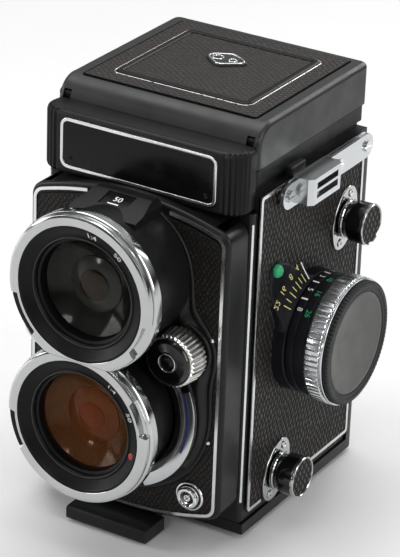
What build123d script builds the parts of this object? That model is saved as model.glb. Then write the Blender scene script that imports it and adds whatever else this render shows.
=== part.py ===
from build123d import *
import os
from math import atan2, cos, degrees, radians, sin, sqrt

os.makedirs("parts", exist_ok=True)

# Twin lens reflex camera. Millimetres, +X to the focusing knob, +Y to the back, +Z up.
# The origin is the mouth of the tripod socket, on the plane that the feet stand on.

# ---- driving dimensions ----
top_height = 147.0          # top of the closed hood
body_half_width = 39.5      # over the side leather
leather = 0.8               # leather thickness on the sides
casting_half = body_half_width - leather
body_front = -37.0
casting_back = 35.0
body_back = 41.0
casting_bottom = 6.4
casting_top = 123.4
step_height = 118.3         # the wide front flange stops below the nameplate housing
step_front = -34.2
wall = 2.5
chamber_half = 33.0         # inner face of the spool chamber walls
chamber_wall = 1.2
pocket_half = 36.9          # gear pocket between chamber wall and side wall

taking_height = 48.5
viewing_height = 95.5
split_height = (taking_height + viewing_height) / 2
film_half = 28.0            # 56 x 56 mm picture

panel_y = -49.3             # leather face of the front standard
panel_half = 37.6
arch_radius = 111.0         # top and bottom edges of the standard

wheel_x = 23.5
upper_spool = (22.5, 96.3)  # (Y, Z) of the take-up spool axis
lower_spool = (-16.3, 18.1)
focus_axis = (-1.1, 64.7)
crank_axis = (-1.0, 65.0)

hood_half = 37.8
hood_front = -34.0
hood_back = 39.0
hood_seam = 132.0           # lower edge of the lid
lid_axis = (-31.8, 141.0)
leaf_axis = (33.4, 133.0)   # (X, Z) of the right side leaf
leaf_height = 31.0
leaf_front = -21.8          # ends of the side leaves along Y
leaf_back = 32.6
rear_leaf_axis = (35.6, 135.6)
back_axis = (39.8, 118.2)
latch_axis = (-38.6, 3.9)

pin_gap = 0.08              # running fit of hinge pins, radial
leaf_pin = 0.5              # radii of the hinge pins
lid_pin_radius = 0.6
back_pin = 0.8
latch_pin = 0.7
spool_pin_bore = 2.5        # bores in the side walls for the shafts
focus_bore = 4.3
crank_bore = 3.3

screen_half = 28.6          # focusing screen and its opening
screen_front = -31.0
screen_back = 26.0
gate_bottom = 17.0          # film gate and pressure plate
gate_top = 80.0

bead_x = 38.2               # silver beads on the front corners of the body
bead_y = -36.1
bead_bottom = 14.0
bead_length = 100.7
bead_radius = 0.55

UPRIGHT = (Align.CENTER, Align.CENTER, Align.MIN)
X_AXIS = (1, 0, 0)
Y_AXIS = (0, 1, 0)


def facing_front(y):
    """Plane at depth y: sketch x is X, sketch y is Z, extrusions run to the front."""
    return Plane.XZ.offset(-y)


def facing_side(x):
    """Plane at x: sketch x is Y, sketch y is Z, extrusions run towards +X."""
    return Plane.YZ.offset(x)


def block(x, y, z, mode=Mode.ADD):
    """A box between the low and high ends given on each axis."""
    with Locations(((x[0] + x[1]) / 2, (y[0] + y[1]) / 2, (z[0] + z[1]) / 2)):
        Box(x[1] - x[0], y[1] - y[0], z[1] - z[0], mode=mode)


def turned(outline, centre, axis):
    """A solid of revolution; outline holds (distance along the axis, radius) corners."""
    direction = Vector(*axis)
    profile = Plane(origin=centre, x_dir=direction, z_dir=direction.cross(Vector(0, 0, 1)))
    with BuildPart() as solid:
        with BuildSketch(profile):
            with BuildLine():
                Polyline(*outline, close=True)
            make_face()
        revolve(axis=Axis(centre, direction))
    return solid.part


def rod(start, length, radius, axis):
    """A plain pin from its start point along an axis."""
    return turned([(0, 0), (length, 0), (length, radius), (0, radius)], start, axis)


def arch_height(x, crown, way):
    """Height of the standard's arched top (way 1) or bottom (way -1) edge at x."""
    return crown - way * (arch_radius - sqrt(arch_radius**2 - x**2))


def standard_outline(half, bottom, crown, corner):
    """Front view of the standard: straight sides, arched ends, rounded corners."""
    low = arch_height(half, bottom, -1)
    high = arch_height(half, crown, 1)
    with BuildSketch(mode=Mode.PRIVATE) as outline:
        with BuildLine():
            ThreePointArc((-half, low), (0, bottom), (half, low))
            Line((half, low), (half, high))
            ThreePointArc((half, high), (0, crown), (-half, high))
            Line((-half, high), (-half, low))
        make_face()
        fillet(outline.vertices(), corner)
    return outline.sketch


# ================= main body =================

light_front = 11.0          # half width of the light box at the lens end
light_wall = 1.5
mirror_centre = (-7.5, viewing_height)
mirror_plane = Plane(origin=(0, *mirror_centre), x_dir=X_AXIS, z_dir=(0, -1, 1))
mirror_thickness = 1.6
boss_front = -44.0
knuckle_starts = (-30, 20)  # back hinge knuckles on the casting
knuckle_length = 10
knuckle_radius = 1.6
gear_module = 0.8
idler_axis = ((upper_spool[0] + crank_axis[0]) / 2, (upper_spool[1] + crank_axis[1]) / 2)
idler_pin = 1.5

with BuildPart() as light_box:
    with BuildSketch(facing_front(casting_back)):
        with Locations((0, taking_height)):
            Rectangle(2 * (film_half + light_wall), 2 * (film_half + light_wall))
    with BuildSketch(facing_front(body_front + 1)):
        with Locations((0, taking_height)):
            Rectangle(2 * (light_front + light_wall), 2 * (light_front + light_wall))
    loft()

with BuildPart() as light_path:
    with BuildSketch(facing_front(casting_back)):
        with Locations((0, taking_height)):
            Rectangle(2 * film_half, 2 * film_half)
    with BuildSketch(facing_front(body_front)):
        with Locations((0, taking_height)):
            Rectangle(2 * light_front, 2 * light_front)
    loft()

with BuildPart() as body_casting:
    block((-casting_half, casting_half), (body_front, casting_back), (casting_bottom, step_height))
    fillet(body_casting.edges().filter_by(Axis.Z).group_by(Axis.Y)[0], 1.5)
    block((-casting_half, casting_half), (step_front, 38.0), (step_height, casting_top))
    # hollow inside, open at the back and at the bottom
    block((-pocket_half, pocket_half), (body_front + wall, casting_back),
          (casting_bottom, step_height - 2), Mode.SUBTRACT)
    block((-pocket_half, pocket_half), (step_front + 2, casting_back),
          (step_height - 2, casting_top - 2), Mode.SUBTRACT)
    block((-screen_half, screen_half), (screen_front, screen_back), (casting_top - 2, casting_top),
          Mode.SUBTRACT)
    for side in (-1, 1):
        inner = sorted((side * chamber_half, side * (chamber_half + chamber_wall)))
        block(inner, (step_front + 2, casting_back), (casting_bottom, casting_top - 2))
    # shelf and backing plate that close the mirror chamber
    block((-chamber_half, chamber_half), (body_front + wall, -27.5), (73.0, 74.5))
    with BuildSketch(mirror_plane.offset(-mirror_thickness)):
        Rectangle(2 * chamber_half, 66)
    extrude(amount=-1.4)
    # film gate with its opening, and the light box behind the taking lens
    block((-chamber_half, chamber_half), (33.5, casting_back), (gate_bottom, gate_top))
    add(light_box.part)
    # boss that the front standard slides over
    with BuildSketch(facing_front(body_front)):
        with Locations((0, 61.5)):
            RectangleRounded(69, 99, 4)
    extrude(amount=body_front - boss_front)
    add(light_path.part, mode=Mode.SUBTRACT)
    add(rod((0, boss_front - 1, taking_height), 8, 24.0, Y_AXIS), mode=Mode.SUBTRACT)
    add(rod((0, boss_front - 1, viewing_height), 8, 22.0, Y_AXIS), mode=Mode.SUBTRACT)
    add(rod((0, boss_front, taking_height), 11, 12.0, Y_AXIS), mode=Mode.SUBTRACT)
    add(rod((0, boss_front, viewing_height), 11, 19.5, Y_AXIS), mode=Mode.SUBTRACT)
    # bores for the knob pins, the focusing shaft, the crank shaft and the spool drive
    add(rod((30, *upper_spool), 12, spool_pin_bore, X_AXIS), mode=Mode.SUBTRACT)
    add(rod((30, *lower_spool), 12, spool_pin_bore, X_AXIS), mode=Mode.SUBTRACT)
    add(rod((30, *focus_axis), 12, focus_bore, X_AXIS), mode=Mode.SUBTRACT)
    add(rod((-42, *crank_axis), 7, crank_bore, X_AXIS), mode=Mode.SUBTRACT)
    add(rod((-35, *upper_spool), 3, crank_bore, X_AXIS), mode=Mode.SUBTRACT)
    add(rod((-pocket_half, *idler_axis), pocket_half - chamber_half, idler_pin, X_AXIS))
    # grooves for the edge beads
    with Locations((-bead_x, bead_y, bead_bottom), (bead_x, bead_y, bead_bottom)):
        Cylinder(bead_radius, bead_length, align=UPRIGHT, mode=Mode.SUBTRACT)
    # hinge knuckles for the back
    for x in knuckle_starts:
        add(rod((x, *back_axis), knuckle_length, knuckle_radius, X_AXIS))
        block((x, x + knuckle_length), (37.5, back_axis[0]),
              (back_axis[1] + 0.1, back_axis[1] + knuckle_radius))
        add(rod((x, *back_axis), knuckle_length, back_pin, X_AXIS), mode=Mode.SUBTRACT)
body_casting.part.label = "body_casting"
export_step(body_casting.part, "parts/body_casting.step")

trim_width = 1.2
trim_height = 0.4
trim_front = -33.9
trim_back = 35.0
trim_bottom = 9.4

with BuildPart() as side_trims:
    for side in (-1, 1):
        with BuildSketch(facing_side(side * body_half_width)):
            with Locations(((trim_front + trim_back) / 2, (trim_bottom + casting_top) / 2)):
                RectangleRounded(trim_back - trim_front, casting_top - trim_bottom, 1.5)
                RectangleRounded(trim_back - trim_front - 2 * trim_width,
                                 casting_top - trim_bottom - 2 * trim_width, 0.8,
                                 mode=Mode.SUBTRACT)
        extrude(amount=side * trim_height)
    with Locations((-bead_x, bead_y, bead_bottom), (bead_x, bead_y, bead_bottom)):
        Cylinder(bead_radius, bead_length, align=UPRIGHT)
    # the lower knob plate reaches over the bottom line
    block((body_half_width, body_half_width + 1), (-25, -15), (trim_bottom, 11), Mode.SUBTRACT)
side_trims.part.label = "side_trims"
export_step(side_trims.part, "parts/side_trims.step")

for side, name in ((-1, "side_covering_left"), (1, "side_covering_right")):
    with BuildPart() as side_covering:
        x_ends = sorted((side * casting_half, side * body_half_width))
        block(x_ends, (trim_front, trim_back), (trim_bottom, casting_top))
        if side == 1:
            for axis in (upper_spool, lower_spool):
                add(rod((casting_half - 1, *axis), 4, spool_pin_bore, X_AXIS), mode=Mode.SUBTRACT)
            add(rod((casting_half - 1, *focus_axis), 4, focus_bore, X_AXIS), mode=Mode.SUBTRACT)
        else:
            add(rod((-casting_half - 3, *crank_axis), 4, crank_bore, X_AXIS), mode=Mode.SUBTRACT)
    side_covering.part.label = name
    export_step(side_covering.part, f"parts/{name}.step")

mirror_width = 54.0
mirror_length = 56.0
with BuildPart() as viewing_mirror:
    with BuildSketch(mirror_plane):
        Rectangle(mirror_width, mirror_length)
    extrude(amount=-mirror_thickness)
viewing_mirror.part.label = "viewing_mirror"
export_step(viewing_mirror.part, "parts/viewing_mirror.step")

with BuildPart() as focusing_screen:
    block((-screen_half, screen_half), (screen_front, screen_back),
          (casting_top - 2, casting_top - 0.4))
focusing_screen.part.label = "focusing_screen"
export_step(focusing_screen.part, "parts/focusing_screen.step")

roller_radius = 2.8
roller_heights = (gate_top + roller_radius, gate_bottom - 3.4)
with BuildPart() as film_rollers:
    for height in roller_heights:
        add(rod((-chamber_half, 31.5, height), 2 * chamber_half, roller_radius, X_AXIS))
film_rollers.part.label = "film_rollers"
export_step(film_rollers.part, "parts/film_rollers.step")

plate_length = 17.2
plate_thickness = 1.0
screw_head = 1.4
# each plate leans by the rise and run between its two screws
for name, centre, tilt in (
    ("upper_knob_plate", upper_spool, degrees(atan2(16.2, 5.8))),
    ("lower_knob_plate", lower_spool, degrees(atan2(15.1, 8.0))),
):
    with BuildPart() as knob_plate:
        with BuildSketch(facing_side(body_half_width)):
            with Locations(Location((*centre, 0), (0, 0, tilt))):
                SlotCenterToCenter(plate_length, 5.2)
                Ellipse(8.4, 7.6)
                Circle(spool_pin_bore, mode=Mode.SUBTRACT)
        extrude(amount=plate_thickness)
        chamfer(knob_plate.faces().sort_by(Axis.X)[-1].outer_wire().edges(), 0.3)
        for end in (-1, 1):
            screw_y = centre[0] + end * plate_length / 2 * cos(radians(tilt))
            screw_z = centre[1] + end * plate_length / 2 * sin(radians(tilt))
            add(rod((body_half_width + plate_thickness, screw_y, screw_z), 0.5, screw_head, X_AXIS))
    knob_plate.part.label = name
    export_step(knob_plate.part, f"parts/{name}.step")

collar_depth = 4.6
collar_radius = 21.0
with BuildPart() as focus_scale_collar:
    add(turned([(0, focus_bore), (collar_depth, focus_bore), (collar_depth, collar_radius - 0.4),
                (collar_depth - 0.4, collar_radius), (0, collar_radius)],
               (body_half_width, *focus_axis), X_AXIS))
    # index tab that carries the green dot
    with BuildSketch(facing_side(body_half_width)):
        with Locations((-15.6, 89.5)):
            RectangleRounded(19.5, 13.5, 2.5)
        with Locations(focus_axis):
            Circle(collar_radius - 1, mode=Mode.SUBTRACT)
    extrude(amount=1.2)
focus_scale_collar.part.label = "focus_scale_collar"
export_step(focus_scale_collar.part, "parts/focus_scale_collar.step")

# ---- hood base with its two tiers, hinge ears and leaf lugs ----
ear_x = (33.2, 35.6)
lid_pin_end = 37.3
ear_half = 1.2
tier_top = 131.5
tier_step = 125.8
with BuildPart() as hood_base:
    block((-35.8, 35.8), (-33.4, 38.0), (casting_top, tier_step))
    block((-36.8, 36.8), (-34.0, hood_back), (tier_step, tier_top))
    fillet(hood_base.edges().filter_by(Axis.Z), 2.5)
    block((-29, 29), (-31, 27), (casting_top, tier_top), Mode.SUBTRACT)
    for side in (-1, 1):
        ear = sorted((side * ear_x[0], side * ear_x[1]))
        block(ear, (lid_axis[0] - ear_half, lid_axis[0] + ear_half), (tier_top, lid_axis[1]))
        add(rod((ear[0], *lid_axis), ear[1] - ear[0], ear_half, X_AXIS))
        lug = sorted((side * (leaf_axis[0] - 1), side * (leaf_axis[0] + 1)))
        for y in ((-23.4, -22.2), (33.0, 34.2)):
            block(lug, y, (tier_top, leaf_axis[1] + 1))
        rear_lug = sorted((side * 31.4, side * 33.4))
        block(rear_lug, (rear_leaf_axis[0] - 1, rear_leaf_axis[0] + 1),
              (tier_top, rear_leaf_axis[1] + 1))
        add(rod((side * leaf_axis[0], -24, leaf_axis[1]), 59, leaf_pin, Y_AXIS), mode=Mode.SUBTRACT)
    add(rod((-34, *rear_leaf_axis), 68, leaf_pin, X_AXIS), mode=Mode.SUBTRACT)
    add(rod((-36, *lid_axis), 72, lid_pin_radius, X_AXIS), mode=Mode.SUBTRACT)
hood_base.part.label = "hood_base"
export_step(hood_base.part, "parts/hood_base.step")

with BuildPart() as hinge_pins:
    for side in (-1, 1):
        add(rod((side * leaf_axis[0], -23.4, leaf_axis[1]), 57.6, leaf_pin, Y_AXIS))
        lid_pin = sorted((side * ear_x[0], side * lid_pin_end))
        add(rod((lid_pin[0], *lid_axis), lid_pin[1] - lid_pin[0], lid_pin_radius, X_AXIS))
    add(rod((-leaf_axis[0], *rear_leaf_axis), 2 * leaf_axis[0], leaf_pin, X_AXIS))
    add(rod((-30, *back_axis), 60, back_pin, X_AXIS))
hinge_pins.part.label = "hinge_pins"
export_step(hinge_pins.part, "parts/hinge_pins.step")

# ---- nameplate housing: a ribbed box across the front, above the standard ----
housing_front = -44.5
housing_back = -34.4
housing_bottom = 118.5
housing_top = 140.0
housing_half = 37.8
seat_depth = 0.6
plate_height = 129.6        # middle of the nameplate
plate_width = 59.6
plate_rise = 18.4
rib_half = 0.35             # half width of the grooves between the ribs
with BuildPart() as nameplate_housing:
    with BuildSketch(facing_front(housing_back)):
        with Locations((0, (housing_bottom + housing_top) / 2)):
            RectangleRounded(2 * housing_half, housing_top - housing_bottom, 5)
    extrude(amount=housing_back - housing_front)
    fillet(nameplate_housing.faces().sort_by(Axis.Y)[0].edges(), 1.2)
    block((-housing_half + 2.5, housing_half - 2.5), (housing_front + 2.2, housing_back),
          (housing_bottom + 1.8, housing_top - 1.8), Mode.SUBTRACT)
    # shallow seat of the nameplate
    with BuildSketch(facing_front(housing_front)):
        with Locations((0, plate_height)):
            RectangleRounded(plate_width, plate_rise, 3)
    extrude(amount=-seat_depth, mode=Mode.SUBTRACT)
    # upright ribs at both ends
    for x in (32.2, 34.0, 35.8):
        for side in (-1, 1):
            groove = sorted((side * (x - rib_half), side * (x + rib_half)))
            block(groove, (housing_front, housing_front + 0.5), (housing_bottom + 3, housing_top - 3),
                  Mode.SUBTRACT)
    for y in (-42.6, -40.8, -39.0, -37.2):
        for side in (-1, 1):
            groove = sorted((side * (housing_half - 0.5), side * housing_half))
            block(groove, (y - rib_half, y + rib_half), (housing_bottom + 4, housing_top - 4),
                  Mode.SUBTRACT)
    # window towards the body so that the box closes on it
    block((-30, 30), (housing_back - 1, housing_back), (120.5, 124), Mode.SUBTRACT)
nameplate_housing.part.label = "nameplate_housing"
export_step(nameplate_housing.part, "parts/nameplate_housing.step")

with BuildPart() as nameplate:
    with BuildSketch(facing_front(housing_front + seat_depth)):
        with Locations((0, plate_height)):
            RectangleRounded(plate_width, plate_rise, 3)
    extrude(amount=0.8)
    with BuildSketch(facing_front(housing_front - 0.2)):
        with Locations((0, plate_height)):
            RectangleRounded(plate_width - 2.4, plate_rise - 2.4, 2)
    extrude(amount=-0.3, mode=Mode.SUBTRACT)
nameplate.part.label = "nameplate"
export_step(nameplate.part, "parts/nameplate.step")

# ---- strap lugs: a long plate with a raised, slotted bridge ----
lug_front = -20.4
lug_rear = 31.2
lug_height = 119.8
lug_standoff = 1.8
lug_sheet = 1.2
bridge_depth = 6.0
post_places = (lug_front, 12.0, lug_rear)
for side, name in ((-1, "strap_lug_left"), (1, "strap_lug_right")):
    base_x = side * (body_half_width + lug_standoff)
    with BuildPart() as strap_lug:
        with BuildSketch(facing_side(base_x)):
            with Locations(((lug_front + lug_rear) / 2, lug_height)):
                SlotCenterToCenter(lug_rear - lug_front, 8.6)
        extrude(amount=side * lug_sheet)
        bridge_x = sorted((base_x, base_x + side * (lug_sheet + bridge_depth)))
        block(bridge_x, (-17.0, 3.5), (116.4, 125.4))
        outer = strap_lug.faces().sort_by(Axis.X)[-1 if side == 1 else 0]
        chamfer(outer.edges().filter_by(Axis.Z), 1.6)
        hollow_x = sorted((base_x - side, base_x + side * (lug_sheet + bridge_depth - 1.2)))
        block(hollow_x, (-14.4, 1.0), (117.4, 124.4), Mode.SUBTRACT)
        slot_x = sorted((base_x, base_x + side * 9))
        for z in (118.3, 121.5):
            block(slot_x, (-13.6, 0.2), (z, z + 2.2), Mode.SUBTRACT)
        # posts that stand on the body side
        post_x = sorted((side * body_half_width, base_x))
        for y in post_places:
            add(rod((post_x[0], y, lug_height), lug_standoff, 2.1, X_AXIS))
    strap_lug.part.label = name
    export_step(strap_lug.part, f"parts/{name}.step")

head_height = 0.8
head_radius = 2.0
with BuildPart() as lug_screws:
    for side in (-1, 1):
        head_x = side * (body_half_width + lug_standoff + lug_sheet)
        for y in post_places:
            start = min(head_x, head_x + side * head_height)
            add(rod((start, y, lug_height), head_height, head_radius, X_AXIS))
            slot = sorted((head_x + side * head_height / 2, head_x + side * head_height))
            block(slot, (y - head_radius, y + head_radius), (lug_height - 0.25, lug_height + 0.25),
                  Mode.SUBTRACT)
lug_screws.part.label = "lug_screws"
export_step(lug_screws.part, "parts/lug_screws.step")

# ================= front standard =================

panel_skin = 0.5
metal_front = panel_y + panel_skin
panel_bottom = 6.4
panel_crown = 120.7
shell_back = -37.4
shell_step = -45.2          # the notch for the nameplate housing ends here
shell_floor = -47.0         # inner face of the shell's front
shell_wall = 1.8
trim_offset = 1.4
trim_line = 1.1
sync_centre = (26.8, 19.0)
button_centre = (-26.8, 19.0)
lens_group = (
    ((0, taking_height), 33.4),
    ((0, viewing_height), 25.2),
    ((-wheel_x, split_height), 11.6),
    ((wheel_x, split_height), 11.6),
)

with BuildPart() as standard_shell:
    with BuildSketch(facing_front(shell_step)):
        add(standard_outline(panel_half, panel_bottom, panel_crown, 5))
    extrude(amount=shell_step - metal_front)
    with BuildSketch(facing_front(shell_back)):
        add(standard_outline(panel_half, panel_bottom, panel_crown, 5))
        with Locations((0, 130)):
            Rectangle(90, 2 * (130 - 118.1), mode=Mode.SUBTRACT)
    extrude(amount=shell_back - shell_step)
    with BuildSketch(facing_front(shell_back)):
        with Locations((0, 62.2)):
            RectangleRounded(2 * (panel_half - shell_wall), 108, 4)
    extrude(amount=shell_back - shell_floor, mode=Mode.SUBTRACT)
    add(rod((0, -55, taking_height), 20, 21.0, Y_AXIS), mode=Mode.SUBTRACT)
    add(rod((0, -55, viewing_height), 20, 18.5, Y_AXIS), mode=Mode.SUBTRACT)
    for side in (-1, 1):
        add(rod((side * wheel_x, -55, split_height), 20, 1.8, Y_AXIS), mode=Mode.SUBTRACT)
    front_rim = standard_shell.faces().sort_by(Axis.Y)[0].outer_wire().edges()
    fillet(front_rim, 1.2)
standard_shell.part.label = "standard_shell"
export_step(standard_shell.part, "parts/standard_shell.step")

# the leather fills the silver line
covering_half = panel_half - trim_offset - trim_line
covering_bottom = panel_bottom + trim_offset + trim_line
covering_crown = panel_crown - trim_offset - trim_line

with BuildPart() as front_trim:
    with BuildSketch(facing_front(metal_front)):
        add(standard_outline(panel_half - trim_offset, panel_bottom + trim_offset,
                             panel_crown - trim_offset, 4.4))
        add(standard_outline(covering_half, covering_bottom, covering_crown, 3.4),
            mode=Mode.SUBTRACT)
        with Locations((0, 120)):
            Rectangle(31, 12, mode=Mode.SUBTRACT)
    extrude(amount=panel_skin + 0.3)
front_trim.part.label = "front_trim"
export_step(front_trim.part, "parts/front_trim.step")

with BuildPart() as front_covering:
    with BuildSketch(facing_front(metal_front)):
        add(standard_outline(covering_half, covering_bottom, covering_crown, 3.4))
        for centre, radius in lens_group:
            with Locations(centre):
                Circle(radius, mode=Mode.SUBTRACT)
        with Locations((0, 112)):
            Rectangle(31, 24, mode=Mode.SUBTRACT)
        with Locations((0, 80)):
            Rectangle(60, 30, mode=Mode.SUBTRACT)
        with Locations(sync_centre, button_centre):
            Circle(5.3, mode=Mode.SUBTRACT)
    extrude(amount=panel_skin)
front_covering.part.label = "front_covering"
export_step(front_covering.part, "parts/front_covering.step")

plate_front = -51.6
viewing_radius = 24.3
roof_half = 12.5
with BuildPart() as shutter_housing:
    with BuildSketch(facing_front(metal_front)):
        for centre, radius in lens_group:
            with Locations(centre):
                Circle(radius)
        with Locations((0, 80)):
            Rectangle(60, 30)
        with Locations((0, viewing_height)):
            Circle(24.5, mode=Mode.SUBTRACT)
    extrude(amount=metal_front - plate_front)
    # shutter case, in front of and behind the panel
    add(turned([(-56.0, 16), (-38.5, 16), (-38.5, 20.8), (metal_front, 20.8), (metal_front, 30.5),
                (-54.0, 30.5), (-54.0, 28.2), (-54.8, 28.2), (-54.8, 22.6), (-56.0, 22.6)],
               (0, 0, taking_height), Y_AXIS))
    add(rod((0, -60, taking_height), 25, 16, Y_AXIS), mode=Mode.SUBTRACT)
    add(rod((0, -60, viewing_height), 20, viewing_radius, Y_AXIS), mode=Mode.SUBTRACT)
    block((-roof_half, roof_half), (plate_front, metal_front), (100, 122), Mode.SUBTRACT)
    for side in (-1, 1):
        add(rod((side * wheel_x, -60, split_height), plate_front + 60, 10.6, Y_AXIS),
            mode=Mode.SUBTRACT)
        add(rod((side * wheel_x, -55, split_height), 12, 1.8, Y_AXIS), mode=Mode.SUBTRACT)
shutter_housing.part.label = "shutter_housing"
export_step(shutter_housing.part, "parts/shutter_housing.step")

with BuildPart() as shutter_scale_ring:
    with BuildSketch(facing_front(-54.0)):
        with Locations((0, taking_height)):
            Circle(30.5)
            Circle(28.3, mode=Mode.SUBTRACT)
        with Locations((-20, taking_height), (0, 100)):
            Rectangle(60, 80, mode=Mode.SUBTRACT)
    extrude(amount=0.9)
shutter_scale_ring.part.label = "shutter_scale_ring"
export_step(shutter_scale_ring.part, "parts/shutter_scale_ring.step")

housing_nose = -70.9
with BuildPart() as viewing_housing:
    with BuildSketch(facing_front(metal_front)):
        with Locations((0, viewing_height)):
            Circle(viewing_radius)
    extrude(amount=metal_front - housing_nose)
    # roof with the setting window
    with BuildSketch(Plane.YZ.offset(-roof_half)):
        with BuildLine():
            Polyline((metal_front, 100), (-65.0, 100), (-65.0, 118.4), (-52.0, 121.4),
                     (metal_front, 121.4), close=True)
        make_face()
    extrude(amount=2 * roof_half)
    roof_sides = viewing_housing.edges().filter_by(Axis.Y).group_by(Axis.Z)[-1]
    chamfer(roof_sides, 2.0)
    block((-5.2, 5.2), (-59.5, -52.5), (119.0, 122), Mode.SUBTRACT)
    add(rod((0, -80, viewing_height), 40, 20.0, Y_AXIS), mode=Mode.SUBTRACT)
    add(rod((0, -80, viewing_height), 12.1, 22.1, Y_AXIS), mode=Mode.SUBTRACT)
    for side in (-1, 1):
        add(rod((side * wheel_x, -63, split_height), 63 + metal_front, 10.4, Y_AXIS),
            mode=Mode.SUBTRACT)
viewing_housing.part.label = "viewing_housing"
export_step(viewing_housing.part, "parts/viewing_housing.step")

bayonet_outer = 27.1
bayonet_inner = 23.0
split_gap = 0.05
bayonet_front = -77.4
for name, height, way in (
    ("viewing_bayonet", viewing_height, 1),
    ("taking_bayonet", taking_height, -1),
):
    with BuildPart() as bayonet:
        add(turned([(bayonet_front, 23.2), (bayonet_front, 26.5),
                    (bayonet_front + 0.5, bayonet_outer), (bayonet_front + 2.6, bayonet_outer),
                    (bayonet_front + 2.6, 25.8), (bayonet_front + 4.4, 25.8),
                    (bayonet_front + 4.4, 26.7), (bayonet_front + 6.4, 26.7),
                    (bayonet_front + 6.4, bayonet_inner)],
                   (0, 0, height), Y_AXIS))
        limit = split_height + way * split_gap
        cut = sorted((limit, limit - way * 10))
        block((-30, 30), (-80, -60), cut, Mode.SUBTRACT)
        # three bayonet notches in the front flange
        with Locations(Plane(origin=(0, bayonet_front, height), x_dir=X_AXIS, z_dir=(0, -1, 0))):
            with PolarLocations(26.4, 3, start_angle=30 if way == 1 else 90):
                Box(1.6, 7.0, 2.4, mode=Mode.SUBTRACT)
    bayonet.part.label = name
    export_step(bayonet.part, f"parts/{name}.step")

# name, axis height, end of the wide front, neck, tail, where the tail starts and ends,
# radius and place of the front glass
barrels = (
    ("viewing_barrel", viewing_height, -68.0, 19.8, 18.2, metal_front, -38.0, 16.2, -70.4),
    ("taking_barrel", taking_height, -56.2, 15.8, 11.0, -46.0, -35.5, 16.8, -71.6),
)
for name, height, shoulder, neck, tail, tail_start, rear_y, opening, glass_y in barrels:
    with BuildPart() as barrel:
        add(turned([(-76.0, 20.6), (-76.0, 22.9), (-71.0, 22.9), (-71.0, 22.0), (shoulder, 22.0),
                    (shoulder, neck), (tail_start, neck), (tail_start, tail), (rear_y, tail),
                    (rear_y, tail - 1.4), (tail_start - 1.4, tail - 1.4),
                    (tail_start - 1.4, neck - 1.5), (glass_y + 3.0, neck - 1.5),
                    (glass_y + 3.0, opening), (glass_y, opening), (glass_y, 18.6),
                    (-74.6, 19.2), (-74.6, 20.6)],
                   (0, 0, height), Y_AXIS))
    barrel.part.label = name
    export_step(barrel.part, f"parts/{name}.step")

bulge = 2.4
front_glass_edge = 3.0
for name, height, glass_y, radius in (
    ("viewing_lens_front", viewing_height, -70.4, 16.2),
    ("taking_lens_front", taking_height, -71.6, 16.8),
):
    sphere = (radius**2 + bulge**2) / (2 * bulge)
    with BuildPart() as front_glass:
        add(rod((0, glass_y - bulge, height), front_glass_edge + bulge, radius, Y_AXIS))
        with Locations((0, glass_y - bulge + sphere, height)):
            Sphere(sphere, mode=Mode.INTERSECT)
    front_glass.part.label = name
    export_step(front_glass.part, f"parts/{name}.step")

for name, height, radius, rear_y in (
    ("viewing_lens_rear", viewing_height, 16.8, -38.0),
    ("taking_lens_rear", taking_height, 9.6, -35.5),
):
    with BuildPart() as rear_glass:
        add(rod((0, rear_y - 4.5, height), 4.0, radius, Y_AXIS))
    rear_glass.part.label = name
    export_step(rear_glass.part, f"parts/{name}.step")

# leaf blades of shutter and iris; the shutter is closed and the iris open by its radius
blade_bore = 14.2
blade_thickness = 0.4
iris_opening = 4.0
for name, y, leaves, opening in (
    ("shutter_blades", -50.0, 5, 0.0),
    ("iris_blades", -48.0, 10, iris_opening),
):
    with BuildPart() as blades:
        add(rod((0, y, taking_height), blade_thickness, blade_bore, Y_AXIS))
        if opening:
            add(rod((0, y - 1, taking_height), 3, opening, Y_AXIS), mode=Mode.SUBTRACT)
        with Locations(Plane(origin=(0, y, taking_height), x_dir=X_AXIS, z_dir=(0, -1, 0))):
            with PolarLocations(opening, leaves):
                with Locations((6.0, 2.0)):
                    Box(10.0, 0.12, 0.3, mode=Mode.SUBTRACT)
    blades.part.label = name
    export_step(blades.part, f"parts/{name}.step")

with BuildPart() as sync_socket:
    add(turned([(metal_front, 0), (metal_front, 5.2), (-51.6, 5.2), (-52.4, 4.4), (-52.4, 3.6),
                (-50.2, 3.4), (-50.2, 2.2), (-52.0, 2.2), (-52.0, 1.5), (-50.2, 1.5),
                (-50.2, 0.5), (-52.2, 0.5), (-52.2, 0)],
               (sync_centre[0], 0, sync_centre[1]), Y_AXIS))
sync_socket.part.label = "sync_socket"
export_step(sync_socket.part, "parts/sync_socket.step")

# ---- setting wheels on the front standard ----
wheel_face = -61.8
for side, name in ((-1, "shutter_speed_wheel"), (1, "aperture_wheel")):
    with BuildPart() as wheel:
        add(turned([(-51.9, 0), (-51.9, 9.2), (-52.4, 9.9), (-55.6, 9.7), (-60.4, 8.3),
                    (-60.9, 7.7), (wheel_face + 0.3, 7.7), (wheel_face, 7.2), (wheel_face, 3.6),
                    (-61.2, 3.2), (-61.2, 0)], (side * wheel_x, 0, split_height), Y_AXIS))
        add(rod((side * wheel_x, -51.9, split_height), 5.5, 1.5, Y_AXIS))
        with Locations(Plane(origin=(side * wheel_x, -56.5, split_height), x_dir=X_AXIS,
                             z_dir=(0, -1, 0))):
            with PolarLocations(10.0, 36):
                Box(1.6, 0.6, 9.0, mode=Mode.SUBTRACT)
    wheel.part.label = name
    export_step(wheel.part, f"parts/{name}.step")

with BuildPart() as release_collar:
    add(turned([(metal_front, 3.3), (metal_front, 5.2), (-52.4, 5.2), (-53.0, 4.6), (-53.0, 3.3)],
               (button_centre[0], 0, button_centre[1]), Y_AXIS))
release_collar.part.label = "release_collar"
export_step(release_collar.part, "parts/release_collar.step")

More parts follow.
